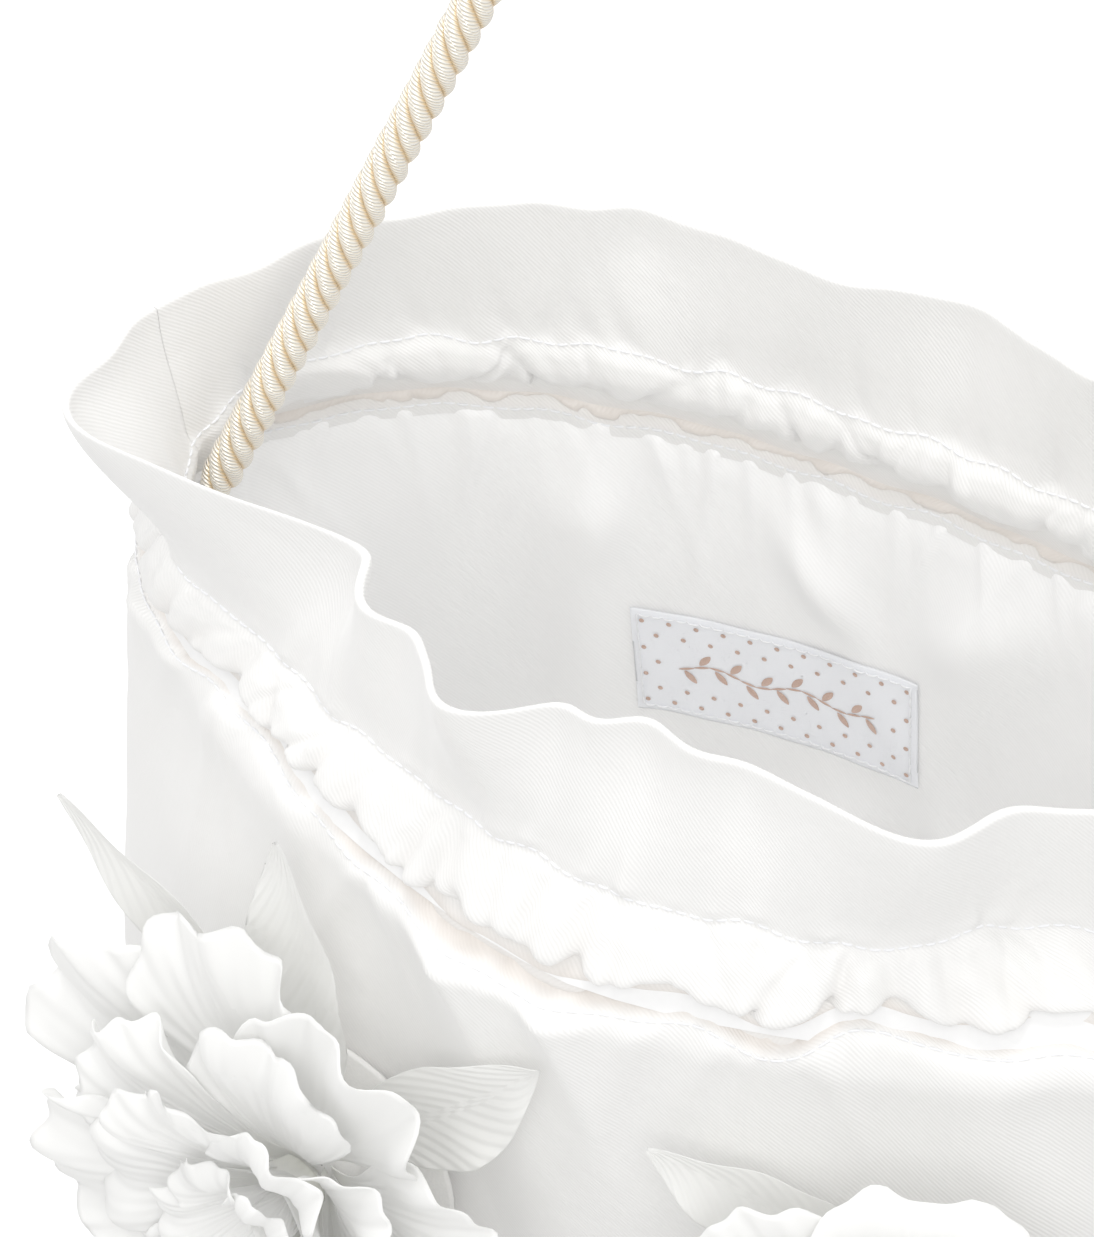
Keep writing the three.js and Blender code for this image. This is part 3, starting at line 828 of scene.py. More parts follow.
@dataclass
class OuterCloth:
    """The outer satin: up the wall, round the gathered band, over the rim and down inside."""

    shape: BasketShape
    finish: bpy.types.Material
    columns: int = 430
    bulge: float = 4.8
    hollow: float = 2.8
    droop: float = 2.6
    band_middle: float = 147.0
    lifts: tuple[tuple[float, float, float], ...] = (
        (209, 7.5, 15),
        (232, 3, 12),
        (286, 4, 16),
        (313, 8, 8),
        (332, 5, 13),
    )
    band: Puckers = Puckers(11, 8.0, (1.1, 3.0), (0.3, 3.1), 1.05)
    crimps: Puckers = Puckers(12, 4.2, (0.85, 1.5), (0.2, 1.1), 0.55)
    pulls: Puckers = Puckers(13, 15.0, (2.2, 4.2), (0.6, 2.4), 0.45)
    drapes: Puckers = Puckers(14, 44.0, (7.0, 13.0), (1.4, 4.4), 0.4)
    frill_pleats: Puckers = Puckers(15, 9.5, (1.5, 3.0), (0.3, 2.0), 0.4)
    frill_waves: Puckers = Puckers(16, 30.0, (6.0, 11.0), (-1.4, 2.2), 0.3)

    def rows(self) -> tuple[Array, Array]:
        """Nominal height and face of each row, from the base up, over and down."""
        top = self.shape.rim
        low = np.linspace(0.6, 100, 34, endpoint=False)
        wall = np.concatenate([low, np.linspace(100, 135, 24, endpoint=False)])
        band = np.linspace(135, self.shape.casing_top, 34, endpoint=False)
        frill = np.linspace(self.shape.casing_top, top, 32, endpoint=False)
        roll = np.linspace(0, math.pi, 7)
        inner = np.linspace(top, self.shape.casing_top, 28)[1:]
        inner_band = np.linspace(self.shape.casing_top, 136, 26)[1:]
        flap = np.linspace(136, 133.4, 4)[1:]
        height = np.concatenate([wall, band, frill, top + 0.7 * np.sin(roll), inner, inner_band, flap])
        outside = len(wall) + len(band) + len(frill)
        inside = len(inner) + len(inner_band) + len(flap)
        side = np.concatenate([np.ones(outside), np.cos(roll), -np.ones(inside)])
        return height, side

    def place(self, turn: Array, height: Array, side: Array) -> Array:
        """Point on the cloth.

        Args:
            turn: angle round the basket.
            height: nominal height.
            side: 1 outside and -1 inside, and between them on the rolled rim.

        Returns:
            The points in millimetres.
        """
        shape = self.shape
        girth = shape.girth
        along = shape.along(turn)
        bottom, top = shape.casing_bottom, shape.casing_top
        share = np.clip((height - bottom) / (top - bottom), 0, 1)
        in_band = smooth(bottom - 0.5, bottom + 2.0, height) * (1 - smooth(top - 2.0, top + 0.5, height))
        cuts = self.band.lift(along, height - self.band_middle, girth)
        brow = 0.38 + 0.075 * ripple(along, girth, 5, (17, 29, 43)) + 0.032 * cuts
        puff = self.bulge * smooth(brow - 0.14, brow + 0.2, share) * (1 - 0.55 * smooth(0.68, 1.0, share))
        puff -= self.hollow * np.exp(-(((share - 0.2) / 0.16) ** 2))
        puff *= 1 + 0.2 * ripple(along, girth, 7, (5, 9, 14, 23))
        crinkle = self.crimps.lift(along, height - self.band_middle, girth)
        valley = cuts * (0.35 + 0.65 * smooth(0.95, 0.4, share)) + 0.7 * crinkle
        band = in_band * (puff - valley)
        droop = self.droop * np.exp(-(((share - brow - 0.13) / 0.15) ** 2)) * in_band
        crimp = self.crimps.lift(along, height - bottom, girth)
        below = np.clip(bottom - height, 0, None)
        wall = self.pulls.lift(along, -below, girth) * np.exp(-below / 17) + 0.5 * crimp * np.exp(-below / 5)
        wall += self.drapes.lift(along, -below, girth) * np.exp(-below / 48)
        wall *= smooth(0, 1.5, below) * smooth(0, 30, height)
        slow = ripple(along + 0.25 * height, girth, 6, (7, 11, 16))
        wall += 0.8 * slow * smooth(0, 30, height) * smooth(0, 14, below)
        above = np.clip(height - top, 0, None)
        frill = self.frill_pleats.lift(along, above, girth) * np.exp(-above / 8.5) * smooth(0, 2, above)
        frill += self.frill_waves.lift(along, above, girth) * smooth(0, 26, above)
        in_hollow = smooth(141, 138.5, height) * smooth(134, 136, height)
        outside = np.maximum(-0.05 + wall + band, -0.6 - 3.0 * in_hollow)
        to_end = np.degrees(np.arcsin(np.clip(np.abs(np.sin(turn)), 0, 1)))
        puffed = np.minimum(band, mix(1.2, 9.0, smooth(12, 30, to_end)))
        inside = -2.4 - 0.8 * np.maximum(puffed, -0.4) - 1.5 * smooth(139.5, 136.5, height)
        offset = mix(inside, outside, (side + 1) / 2)
        collar = smooth(top, top + 6, height)
        offset = mix(offset, -1.2 + 0.75 * side, collar) + frill
        z = height - droop * (0.5 + 0.5 * side)
        z += 1.0 * ripple(along, girth, 8, (13, 22, 31)) * np.exp(-(((height - bottom) / 7) ** 2))
        over_hem = smooth(bottom - 0.01, bottom + 0.01, height)
        hem = mix(np.exp(-(((height - bottom) / 30) ** 2)), 1 - share, over_hem)
        degrees = np.degrees(turn)
        for centre, amount, width in self.lifts:
            z += amount * np.exp(-(((degrees - centre) / width) ** 2)) * hem * (0.5 + 0.5 * side)
        z += 1.1 * ripple(along, girth, 9, (16, 29, 41)) * np.exp(-(((height - top) / 7) ** 2))
        waves = 1.2 * ripple(along, girth, 10, (5, 8, 13)) + 0.5 * ripple(along, girth, 21, (21, 34))
        z += waves * smooth(172, 190, height)
        points = shape.place(turn, z, offset)
        return self.draw_in(points, side)

    def painted_shade(self, turn: Array, height: Array, side: Array) -> Array:
        """Painted shade of each point, from 0 to 1: in the hollow under the band's puff, in its cuts, and a
        little inside.
        """
        bottom = self.shape.casing_bottom
        share = np.clip((height - bottom) / (self.shape.casing_top - bottom), 0, 1)
        cuts = self.band.lift(self.shape.along(turn), height - self.band_middle, self.shape.girth)
        # Painted shade in the hollow under the puff and in the band's cuts.
        hollow = np.exp(-(((share - 0.12) / 0.17) ** 2)) * smooth(bottom - 0.5, bottom + 1.0, height)
        depth = 0.8 * hollow + 0.07 * np.clip(cuts, 0, 3) * smooth(0.95, 0.5, share) * smooth(0.1, 0.3, share)
        return np.where(side > 0.5, np.clip(depth, 0, 0.85), 0.3 * hollow)

    def draw_in(self, points: Array, side: Array) -> Array:
        """Draws the inner cloth into small gathers round each sewn rope end.

        Args:
            points: points on the cloth.
            side: the face of each point.

        Returns:
            The points with the gathers.
        """
        for end in (-1, 1):
            x, y, z = points[..., 0], points[..., 1], points[..., 2]
            away = np.hypot(y - 1.0, z - 144.0)
            clock = np.arctan2(z - 144.0, y - 1.0)
            at_end = (np.sign(x) == end) * (np.abs(x) > 90)
            near = np.exp(-((away / 15.0) ** 2)) * smooth(0, 0.6, -side) * at_end
            star = np.sin(7 * clock + 1.4 * np.sin(2 * clock + end)) * smooth(1.5, 5, away)
            points = points.copy()
            points[..., 0] -= end * near * (1.6 + 1.3 * star)
        return points

    def build(self) -> list[bpy.types.Object]:
        """Builds the front and back cloths.

        Returns:
            The two pieces.
        """
        pieces = []
        height, side = self.rows()
        for half in Half:
            turn = self.shape.half_turns(half, self.columns)
            angle, level = np.meshgrid(turn, height, indexing="ij")
            _, face = np.meshgrid(turn, side, indexing="ij")
            points = self.place(angle, level, face)
            patch = Patch(points, flat_lengths(points), self.painted_shade(angle, level, face))
            piece = sew(f"outer_cloth_{half.value}", [patch], self.finish)
            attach(piece, "bag")
            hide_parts(f"shell_{half.value}", f"casing_{half.value}", f"collar_{half.value}")
            pieces.append(piece)
        return pieces


@dataclass
class Lining:
    """The loose lining inside, hanging in soft slanting folds."""

    shape: BasketShape
    finish: bpy.types.Material
    columns: int = 300
    rows: int = 96
    depth: float = 4.2
    swags: Puckers = Puckers(33, 46.0, (7.0, 13.0), (2.6, 6.0), 0.6)
    creases: Puckers = Puckers(34, 19.0, (2.5, 5.0), (0.2, 1.6), 0.6)
    gathers: Puckers = Puckers(36, 7.5, (1.2, 2.6), (0.4, 2.4), 0.45)

    def place(self, turn: Array, height: Array) -> Array:
        """Point on the lining.

        Args:
            turn: angle round the basket.
            height: height above the floor.

        Returns:
            The points in millimetres.
        """
        shape = self.shape
        along = shape.along(turn)
        below = np.clip(136 - height, 0, None)
        hang = smooth(0, 26, below) * smooth(2, 34, height)
        fade = 0.55 + 0.45 * np.exp(-(((below - 45) / 50) ** 2))
        sag = self.swags.lift(along, -below, shape.girth) * hang * fade
        sag += self.creases.lift(along, -below, shape.girth) * np.exp(-below / 24) * smooth(0, 6, below)
        sag += 0.9 * (1 + ripple(along + 0.6 * height, shape.girth, 35, (9, 13, 19))) * hang
        sag += self.gathers.lift(along, -below, shape.girth) * np.exp(-below / 16) * smooth(0, 2, below)
        middle = shape.place(turn, height, 0.0)
        aside = (middle[..., 0] + 24) / 46
        apart = (height - 76) / 27
        calm = np.exp(-(aside**6) - apart**6) * (middle[..., 1] > 0)
        sag = mix(sag, 0.12 * sag + 1.2, calm)
        return shape.place(turn, height, -mix(3.0, self.depth, smooth(-1, 8, below)) - sag)

    def build(self) -> list[bpy.types.Object]:
        """Builds the front and back linings.

        Returns:
            The two pieces.
        """
        pieces = []
        for half in Half:
            turn = self.shape.half_turns(half, self.columns)
            levels = 136.4 - 130.6 * np.linspace(0, 1, self.rows) ** 1.25
            angle, level = np.meshgrid(turn, levels, indexing="ij")
            points = self.place(angle, level)
            piece = sew(f"lining_cloth_{half.value}", [Patch(points, flat_lengths(points))], self.finish)
            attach(piece, "bag")
            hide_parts(f"lining_{half.value}")
            pieces.append(piece)
        return pieces


@dataclass
class OvalBase:
    """The covered board underneath and the lined floor inside."""

    shape: BasketShape
    satin: bpy.types.Material
    lining: bpy.types.Material

    def _plate(
        self, name: str, reach: float, profile: Callable[[Array], Array], finish: bpy.types.Material
    ) -> bpy.types.Object:
        """Oval cloth-covered plate.

        Args:
            name: the piece's name.
            reach: offset of its edge from the wall.
            profile: height against the share of the radius, with the underside past 1.
            finish: its material.

        Returns:
            The piece.
        """
        turn = np.linspace(0, 2 * np.pi, 193)
        spans = ((0.002, 0.97, 20), (0.975, 1.0, 5), (1.003, 1.03, 5), (1.06, 1.998, 12))
        share = np.concatenate([np.linspace(*span) for span in spans])
        angle, out = np.meshgrid(turn, share, indexing="ij")
        edge = self.shape.place(angle, np.zeros_like(angle), reach)
        span = np.where(out <= 1, out, 2 - out)
        points = edge * span[..., None]
        points[..., 2] = profile(out) + 0 * angle
        return sew(name, [Patch(points, points[..., :2].copy())], finish, close=True)

    def build(self) -> list[bpy.types.Object]:
        """Builds the underside and the inner floor.

        Returns:
            The two pieces.
        """
        under = self._plate(
            "base_wrap",
            0.4,
            lambda s: np.where(s <= 1, 2.6 - 1.3 * smooth(0.96, 1.0, s), 1.3 - 1.3 * smooth(1.0, 1.04, s)),
            self.satin,
        )
        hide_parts("base_cover")
        floor = self._plate(
            "base_floor_cloth",
            -4.6,
            lambda s: np.where(s <= 1, 6.6 - 1.4 * smooth(0.9, 1.0, s), 5.2 - 0.5 * smooth(1.0, 1.04, s)),
            self.lining,
        )
        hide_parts("base_lining")
        for piece in (under, floor):
            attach(piece, "bag")
        return [under, floor]


# ---- stitching -----------------------------------------------------------------------------------


@dataclass
class Stitching:
    """Rows of lockstitch: each stitch lies on the cloth and dips at its holes."""

    finish: bpy.types.Material
    pitch: float = 2.6
    radius: float = 0.24
    sides: int = 6
    steps: int = 6

    def thread(self, line: Callable[[Array], tuple[Array, Array]], length: float) -> Patch:
        """Thread along one stitch line.

        Args:
            line: gives points and outward directions at distances along the line.
            length: the line's length.

        Returns:
            The thread as a patch.
        """
        count = max(2, int(length / self.pitch))
        share = np.linspace(0, 1, count * self.steps + 1)
        points, out = line(share * length)
        ahead = np.gradient(points, axis=0)
        ahead /= np.linalg.norm(ahead, axis=1, keepdims=True) + 1e-9
        beside = np.cross(out, ahead)
        phase = (share * count) % 1.0
        dip = np.exp(-((np.minimum(phase, 1 - phase) / 0.13) ** 2))
        centre = points + out * (0.22 - 0.62 * dip)[:, None]
        clock = np.linspace(0, 2 * np.pi, self.sides + 1)
        radius = (self.radius * (1 - 0.35 * dip))[:, None, None]
        ring = centre[:, None] + radius * (
            np.cos(clock)[None, :, None] * out[:, None] + np.sin(clock)[None, :, None] * beside[:, None]
        )
        return Patch(ring, flat_lengths(ring))

    def seam(self, name: str, lines: Sequence[tuple[Callable, float]]) -> bpy.types.Object:
        """Makes one piece of all the threads on a cloth.

        Args:
            name: the piece's name.
            lines: each line's function and length.

        Returns:
            The piece.
        """
        piece = sew(name, [self.thread(line, length) for line, length in lines], self.finish, close=True)
        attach(piece, "bag")
        return piece


def on_cloth(
    place: Callable[[Array, Array], Array], turn: Array, height: Array, inward: float
) -> tuple[Array, Array]:
    """Points on a cloth and the directions straight off it.

    Args:
        place: gives the cloth's point at an angle and height.
        turn: angles round the basket.
        height: heights.
        inward: 1 for directions out of the basket and -1 for directions into it.

    Returns:
        Points and unit directions.
    """
    points = place(turn, height)
    round_it = place(turn + 0.004, height) - place(turn - 0.004, height)
    up = place(turn, height + 0.5) - place(turn, height - 0.5)
    out = np.cross(round_it, up)
    out /= np.linalg.norm(out, axis=-1, keepdims=True) + 1e-9
    return points, out * inward


@dataclass
class SeamRows:
    """The stitch rows of the gathered band, outside and inside."""

    shape: BasketShape
    cloth: OuterCloth
    stitching: Stitching

    def line(self, height: float, side: float) -> tuple[Callable, float]:
        """One stitch row round the basket.

        Args:
            height: the row's nominal height.
            side: 1 outside and -1 inside.

        Returns:
            The row's function and its length.
        """

        def at(distance: Array) -> tuple[Array, Array]:
            """Points and directions along the row."""
            turn = self.shape.turn_at(distance)
            level = np.full_like(turn, height)
            return on_cloth(lambda t, h: self.cloth.place(t, h, np.full_like(t, side)), turn, level, side)

        return at, self.shape.girth

    def build(self) -> bpy.types.Object:
        """Builds every stitch row of the band.

        Returns:
            The piece.
        """
        rows = [self.line(158.3, 1), self.line(135.6, 1), self.line(158.3, -1), self.line(136.2, -1)]
        return self.stitching.seam("band_stitching", rows)


# ---- woven label ---------------------------------------------------------------------------------


@dataclass
class Label:
    """Woven label sewn to the back lining, with metallic dots and a small sprig."""

    lining: Lining
    weave: bpy.types.Material
    metal: bpy.types.Material
    stitching: Stitching
    centre: tuple[float, float] = (-24.0, 76.0)
    width: float = 64.0
    height: float = 29.0
    roll: float = 0.08

    def place(self, x: Array, y: Array, lift: Array) -> Array:
        """Point over the label.

        Args:
            x: distance along the label from its middle.
            y: distance up the label from its middle.
            lift: distance off the lining.

        Returns:
            The points in millimetres.
        """
        across = self.centre[0] + x - self.roll * y
        level = self.centre[1] + y + self.roll * x
        depth = 68.0 * (1 - (np.abs(across) / 125) ** 2.35) ** (1 / 2.35)
        turn = np.arctan2(depth, across)
        points, out = on_cloth(self.lining.place, turn, level, -1)
        return points + out * np.asarray(lift)[..., None]

    def build(self) -> list[bpy.types.Object]:
        """Builds the label, its dots and sprig and its stitches.

        Returns:
            The pieces.
        """
        u, v = grid(97, 45)
        x, y = (u - 0.5) * self.width, (v - 0.5) * self.height
        edge = np.minimum(np.minimum(u, 1 - u) * self.width, np.minimum(v, 1 - v) * self.height)
        wave = 0.15 * np.sin(x * 0.35 + 1) * np.sin(y * 0.3)
        points = self.place(x, y, 0.75 + wave - 0.25 * np.exp(-(edge / 0.8) ** 2))
        label = sew("label_cloth", [Patch(points, np.stack([x, y], axis=2))], self.weave, thickness=0.3)
        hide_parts("woven_label")
        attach(label, "bag")
        marks = sew("label_dots", self.dots() + self.sprig(), self.metal)
        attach(marks, "bag")
        stitches = self.stitching.seam("label_stitching", [self.border()])
        return [label, marks, stitches]

    def dots(self) -> list[Patch]:
        """Small staggered dots, left out where the sprig runs."""
        patches = []
        for row in range(7):
            for column in range(11):
                x = -29.5 + column * 5.9 + (2.95 if row % 2 else 0.0)
                y = -11.4 + row * 3.8
                if x > 30 or (abs(y) < 5.5 and abs(x) < 24):
                    continue
                patches.append(self.disc(x, y, 0.58))
        return patches

    def disc(self, x: float, y: float, radius: float, long: float = 1.0, turn: float = 0.0) -> Patch:
        """A raised oval of metallic stitches.

        Args:
            x: its place along the label.
            y: its place up the label.
            radius: its half width.
            long: its length against its width.
            turn: its direction.

        Returns:
            The oval as a patch.
        """
        clock, share = np.meshgrid(np.linspace(0, 2 * np.pi, 15), np.linspace(0.01, 1, 5), indexing="ij")
        a = radius * long * share * np.cos(clock)
        b = radius * share * np.sin(clock) * (1 - 0.35 * (share * np.cos(clock)) ** 2 * (long > 1))
        dome = 0.95 + 0.16 * (1 - share**2)
        px = x + a * math.cos(turn) - b * math.sin(turn)
        py = y + a * math.sin(turn) + b * math.cos(turn)
        points = self.place(px, py, dome)
        return Patch(points, np.stack([px, py], axis=2))

    def sprig(self) -> list[Patch]:
        """A running sprig of small leaves along the middle of the label."""
        patches = []
        for i in range(13):
            x = -20.4 + i * 3.4
            y = 1.1 * math.sin(x * 0.33)
            side = 1 if i % 2 else -1
            patches.append(self.disc(x + 0.8, y + side * 2.2, 0.85, 2.4, side * 0.9))
            patches.append(self.disc(x, y, 0.34, 5.6, 0.34 * math.cos(x * 0.33)))
        return patches

    def border(self) -> tuple[Callable, float]:
        """The stitch row just inside the label's edge."""
        wide, high = self.width - 3.0, self.height - 3.0
        length = 2 * (wide + high)
        corners = np.array([[-wide, -high], [wide, -high], [wide, high], [-wide, high], [-wide, -high]]) / 2
        marks = np.array([0, wide, wide + high, 2 * wide + high, length])

        def at(distance: Array) -> tuple[Array, Array]:
            """Points and directions along the border."""
            x = np.interp(distance, marks, corners[:, 0])
            y = np.interp(distance, marks, corners[:, 1])
            points = self.place(x, y, np.full_like(x, 1.0))
            beyond = self.place(x, y, np.full_like(x, 2.0))
            return points, beyond - points

        return at, length


# ---- rope handle ---------------------------------------------------------------------------------


@dataclass
class RopeHandle:
    """Four-strand twisted rope, wound with silky yarn and sewn in at both ends."""

    finish: bpy.types.Material
    pivot_x: float = 116.5
    pivot_z: float = 142.0
    lean: float = 0.3578
    tilt: float = 0.2094
    arc: float = 60.0
    strands: int = 4
    strand_radius: float = 1.9
    orbit: float = 2.08
    pitch: float = 22.0
    sides: int = 22
    tips: dict[int, tuple[str, ...]] = field(
        default_factory=lambda: {0: ("rope_tip_left",), 1: ("rope_tip_right",)}
    )

    @property
    def leg(self) -> float:
        """Length of each straight leg."""
        return (self.pivot_x - self.arc * math.cos(self.lean)) / math.sin(self.lean)

    @property
    def length(self) -> float:
        """Length of the rope from pivot to pivot."""
        return 2 * self.leg + self.arc * (math.pi - 2 * self.lean)

    def centre_line(self, distance: Array) -> tuple[Array, Array, Array]:
        """Centre, sideways and forward directions of the rope.

        Args:
            distance: distance from the left pivot.

        Returns:
            Points, directions away from the handle's middle, and directions ahead.
        """
        lean, leg, arc = self.lean, self.leg, self.arc
        sweep = math.pi - 2 * lean
        on_arc = np.clip(distance - leg, 0, arc * sweep)
        turn = math.pi - lean - on_arc / arc
        middle = self.pivot_z + leg * math.cos(lean) - arc * math.sin(lean)
        out = np.stack([np.cos(turn), 0 * turn, np.sin(turn)], axis=-1)
        ahead = np.stack([np.sin(turn), 0 * turn, -np.cos(turn)], axis=-1)
        straight = np.minimum(distance, leg) - leg + np.maximum(distance - leg - arc * sweep, 0)
        points = out * arc + ahead * straight[..., None]
        points[..., 2] += middle - self.pivot_z
        points = self.lean_back(points)
        points[..., 2] += self.pivot_z
        return points, self.lean_back(out), self.lean_back(ahead)

    def lean_back(self, vectors: Array) -> Array:
        """Turns vectors of the upright handle to its resting lean."""
        c, s = math.cos(self.tilt), math.sin(self.tilt)
        return vectors @ np.array([[1.0, 0.0, 0.0], [0.0, c, -s], [0.0, s, c]])

    def strand(self, number: int) -> Patch:
        """One wound strand.

        Args:
            number: which strand, from 0.

        Returns:
            The strand as a patch.
        """
        distance = np.linspace(-1.5, self.length + 1.5, 760)
        centre, out, ahead = self.centre_line(distance)
        end = np.minimum(distance, self.length - distance)
        full = 0.42 + 0.58 * smooth(-2, 11, end)
        turn = 2 * np.pi * distance / self.pitch + 2 * np.pi * number / self.strands
        side = self.lean_back(np.array([0.0, 1.0, 0.0]))
        spoke = np.cos(turn)[:, None] * out + np.sin(turn)[:, None] * side
        path = centre + (self.orbit * full)[:, None] * spoke
        run = np.gradient(path, axis=0)
        run /= np.linalg.norm(run, axis=1, keepdims=True)
        across = np.cross(run, spoke)
        across /= np.linalg.norm(across, axis=1, keepdims=True)
        lift = np.cross(across, run)
        clock = np.linspace(0, 2 * np.pi, self.sides + 1)
        slack = 1 + 0.02 * np.sin(distance * 0.9 + number) + 0.015 * np.sin(distance * 2.3 + 2 * number)
        radius = (self.strand_radius * full * slack)[:, None, None]
        close = np.where(end < -1.0, 0.25, 1.0)[:, None, None]
        upward = np.cos(clock)[None, :, None] * lift[:, None]
        sideways = 0.98 * np.sin(clock)[None, :, None] * across[:, None]
        ring = path[:, None] + radius * close * (upward + sideways)
        around = clock[None, :] * self.strand_radius
        slope = distance[:, None] * 1.14 + 0.42 * around
        flat = np.stack([slope, around + 0 * distance[:, None]], axis=2)
        # Painted shade on each strand's sides where it meets its neighbours, and towards the sewn ends.
        tucked = smooth(0.65, 1.6, np.minimum(clock, 2 * np.pi - clock))
        painted_shade = 0.95 * tucked[None, :] + 0.3 * (1 - smooth(0, 5, end))[:, None]
        return Patch(ring, flat, np.clip(painted_shade, 0, 1))

    def build(self) -> list[bpy.types.Object]:
        """Builds the four strands.

        Returns:
            The strand pieces.
        """
        pieces = []
        for number in range(self.strands):
            piece = sew(f"wound_strand_{number + 1}", [self.strand(number)], self.finish, close=True)
            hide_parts(f"rope_strand_{number + 1}", *self.tips.get(number, ()))
            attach(piece, "handle")
            pieces.append(piece)
        return pieces


# ---- fabric flowers ------------------------------------------------------------------------------


@dataclass(frozen=True)
class PetalRing:
    """One ring of overlapping petals in a flower.

    Attributes:
        count: number of petals.
        length: each petal's length from base to lip.
        spread: half of the angle each petal covers, in degrees.
        start: distance of its base from the flower's middle.
        base: height of its base off the wall.
        slope: the way it rises at the base, in degrees.
        open: the way it points half way out, in degrees.
        lip: how far the lip curls over, in degrees.
        ruffle: height of the lip's ruffle.
        waves: ruffles across one petal.
        turn: angle of the first petal, in degrees.
        favour: how much longer the petals on the left are than those on the right.
    """

    count: int
    length: float
    spread: float
    start: float
    base: float
    slope: float
    open: float
    lip: float
    ruffle: float
    waves: float
    turn: float
    favour: float = 0.0


@dataclass(frozen=True)
class LeafShape:
    """A pointed leaf lying out from behind the petals."""

    turn: float
    length: float
    width: float
    base: float
    rise: float


@dataclass
class Flower:
    """A fabric flower sewn to the front wall.

    Attributes:
        name: the flower's name, which starts the names of its pieces.
        shape: the basket it is sewn to.
        spot: where it sits on the front wall, sideways and up.
        rings: its petals, from the outermost ring in.
        leaves: the leaves behind the petals.
        bud: radius, height and base of the rolled heart.
        pad: radius of the felt disc behind it.
        seed: number that starts its own chance.
        petal: finish of the petals.
        leaf: finish of the leaves.
        felt: finish of the disc and stem.
        petal_share: a petal pattern's width over its length; not used.
    """

    name: str
    shape: BasketShape
    spot: tuple[float, float]
    rings: Sequence[PetalRing]
    leaves: Sequence[LeafShape]
    bud: tuple[float, float, float]
    pad: float
    seed: int
    petal: bpy.types.Material
    leaf: bpy.types.Material
    felt: bpy.types.Material
    petal_share: float = 0.7

    def __post_init__(self) -> None:
        """Finds the flower's place and its own axes on the wall."""
        x, z = self.spot

        def at(px: float, pz: float) -> Array:
            """Point of the front wall at a place along it and a height."""
            level = smooth(40, self.shape.wall_top, pz)
            power = mix(2.35, 1.55, level)
            depth = 73.0 * (1 - (abs(px) / 130.0) ** power) ** (1 / power)
            turn = np.array(-math.acos(px / math.hypot(px, depth)))
            return self.shape.place(turn % (2 * np.pi), np.array(float(pz)), 0.0)

        self.origin = at(x, z)
        right = at(x + 6, z) - at(x - 6, z)
        self.right = right / np.linalg.norm(right)
        out = np.cross(self.right, at(x, z + 8) - at(x, z - 8))
        self.out = out / np.linalg.norm(out)
        self.up = np.cross(self.out, self.right)

    def world(self, x: Array, y: Array, out: Array) -> Array:
        """Points from the flower's own axes."""
        return (
            self.origin
            + np.asarray(x)[..., None] * self.right
            + np.asarray(y)[..., None] * self.up
            + np.asarray(out)[..., None] * self.out
        )

    def petals(self, ring: PetalRing, number: int) -> list[Patch]:
        """Petals of one ring.

        Args:
            ring: the ring's sizes.
            number: the ring's number, for its own chance.

        Returns:
            One patch for each petal.
        """
        rng = np.random.default_rng(self.seed * 31 + number)
        patches = []
        t = np.linspace(0, 1, 121)
        for i in range(ring.count):
            middle = math.radians(ring.turn + 360 * i / ring.count)
            length = ring.length * rng.uniform(0.93, 1.07) * (1 - ring.favour * math.cos(middle + 0.5))
            lip = ring.lip * rng.uniform(0.6, 1.3)
            lean = ring.open + rng.uniform(-6, 6)
            slope = np.radians(mix(ring.slope, lean, smooth(0, 0.6, t)) - lip * smooth(0.62, 1.0, t) ** 1.3)
            reach = ring.start + length * np.concatenate([[0], np.cumsum(np.cos(slope[1:]))]) / 120
            rise = ring.base + length * np.concatenate([[0], np.cumsum(np.sin(slope[1:]))]) / 120
            u, v = grid(47, 33)
            u = 2 * u - 1
            notch = 0.05 * np.exp(-((u - rng.uniform(-0.15, 0.15)) / 0.16) ** 2)
            scallop = 0.018 * np.sin(9 * u + rng.uniform(0, 6)) + 0.012 * np.sin(21 * u + rng.uniform(0, 6))
            edge = 1 - 0.26 * np.abs(u) ** 2.6 - notch + scallop
            s = np.clip(v * edge, 0, 1)
            wide = math.radians(ring.spread * rng.uniform(0.92, 1.08))
            clock = math.radians(ring.turn + 360 * (i + rng.uniform(-0.12, 0.12)) / ring.count)
            angle = clock + u * wide * (0.55 + 0.45 * smooth(0, 0.7, s))
            r = np.interp(s, t, reach)
            h = np.interp(s, t, rise)
            phase = rng.uniform(0, 6.28)
            wave = np.sin(ring.waves * np.pi * u + phase + 0.8 * np.sin(2.1 * u + phase))
            fine = np.sin(2.7 * ring.waves * np.pi * u + 2 * phase)
            frill = ring.ruffle * (smooth(0.45, 1, v) ** 1.4 * wave + 0.35 * smooth(0.75, 1, v) * fine)
            tilt = np.interp(s, t, slope)
            r = r - frill * np.sin(tilt) * 0.8
            h = h + frill * np.cos(tilt) + 1.1 * u * v + 1.4 * (i % 2) * v
            ribs = 0.16 * np.sin(np.pi * 9 * u) * smooth(0.1, 0.5, v) * (1 - 0.5 * v)
            points = self.world(r * np.cos(angle), r * np.sin(angle), h + ribs)
            flat = np.stack([u * 1000 * 0.9, s * length * 10], axis=2)
            # Painted shade towards each petal's base, deep in the flower.
            patches.append(Patch(points, flat, 0.35 * (1 - smooth(0.0, 0.45, s))))
        return patches

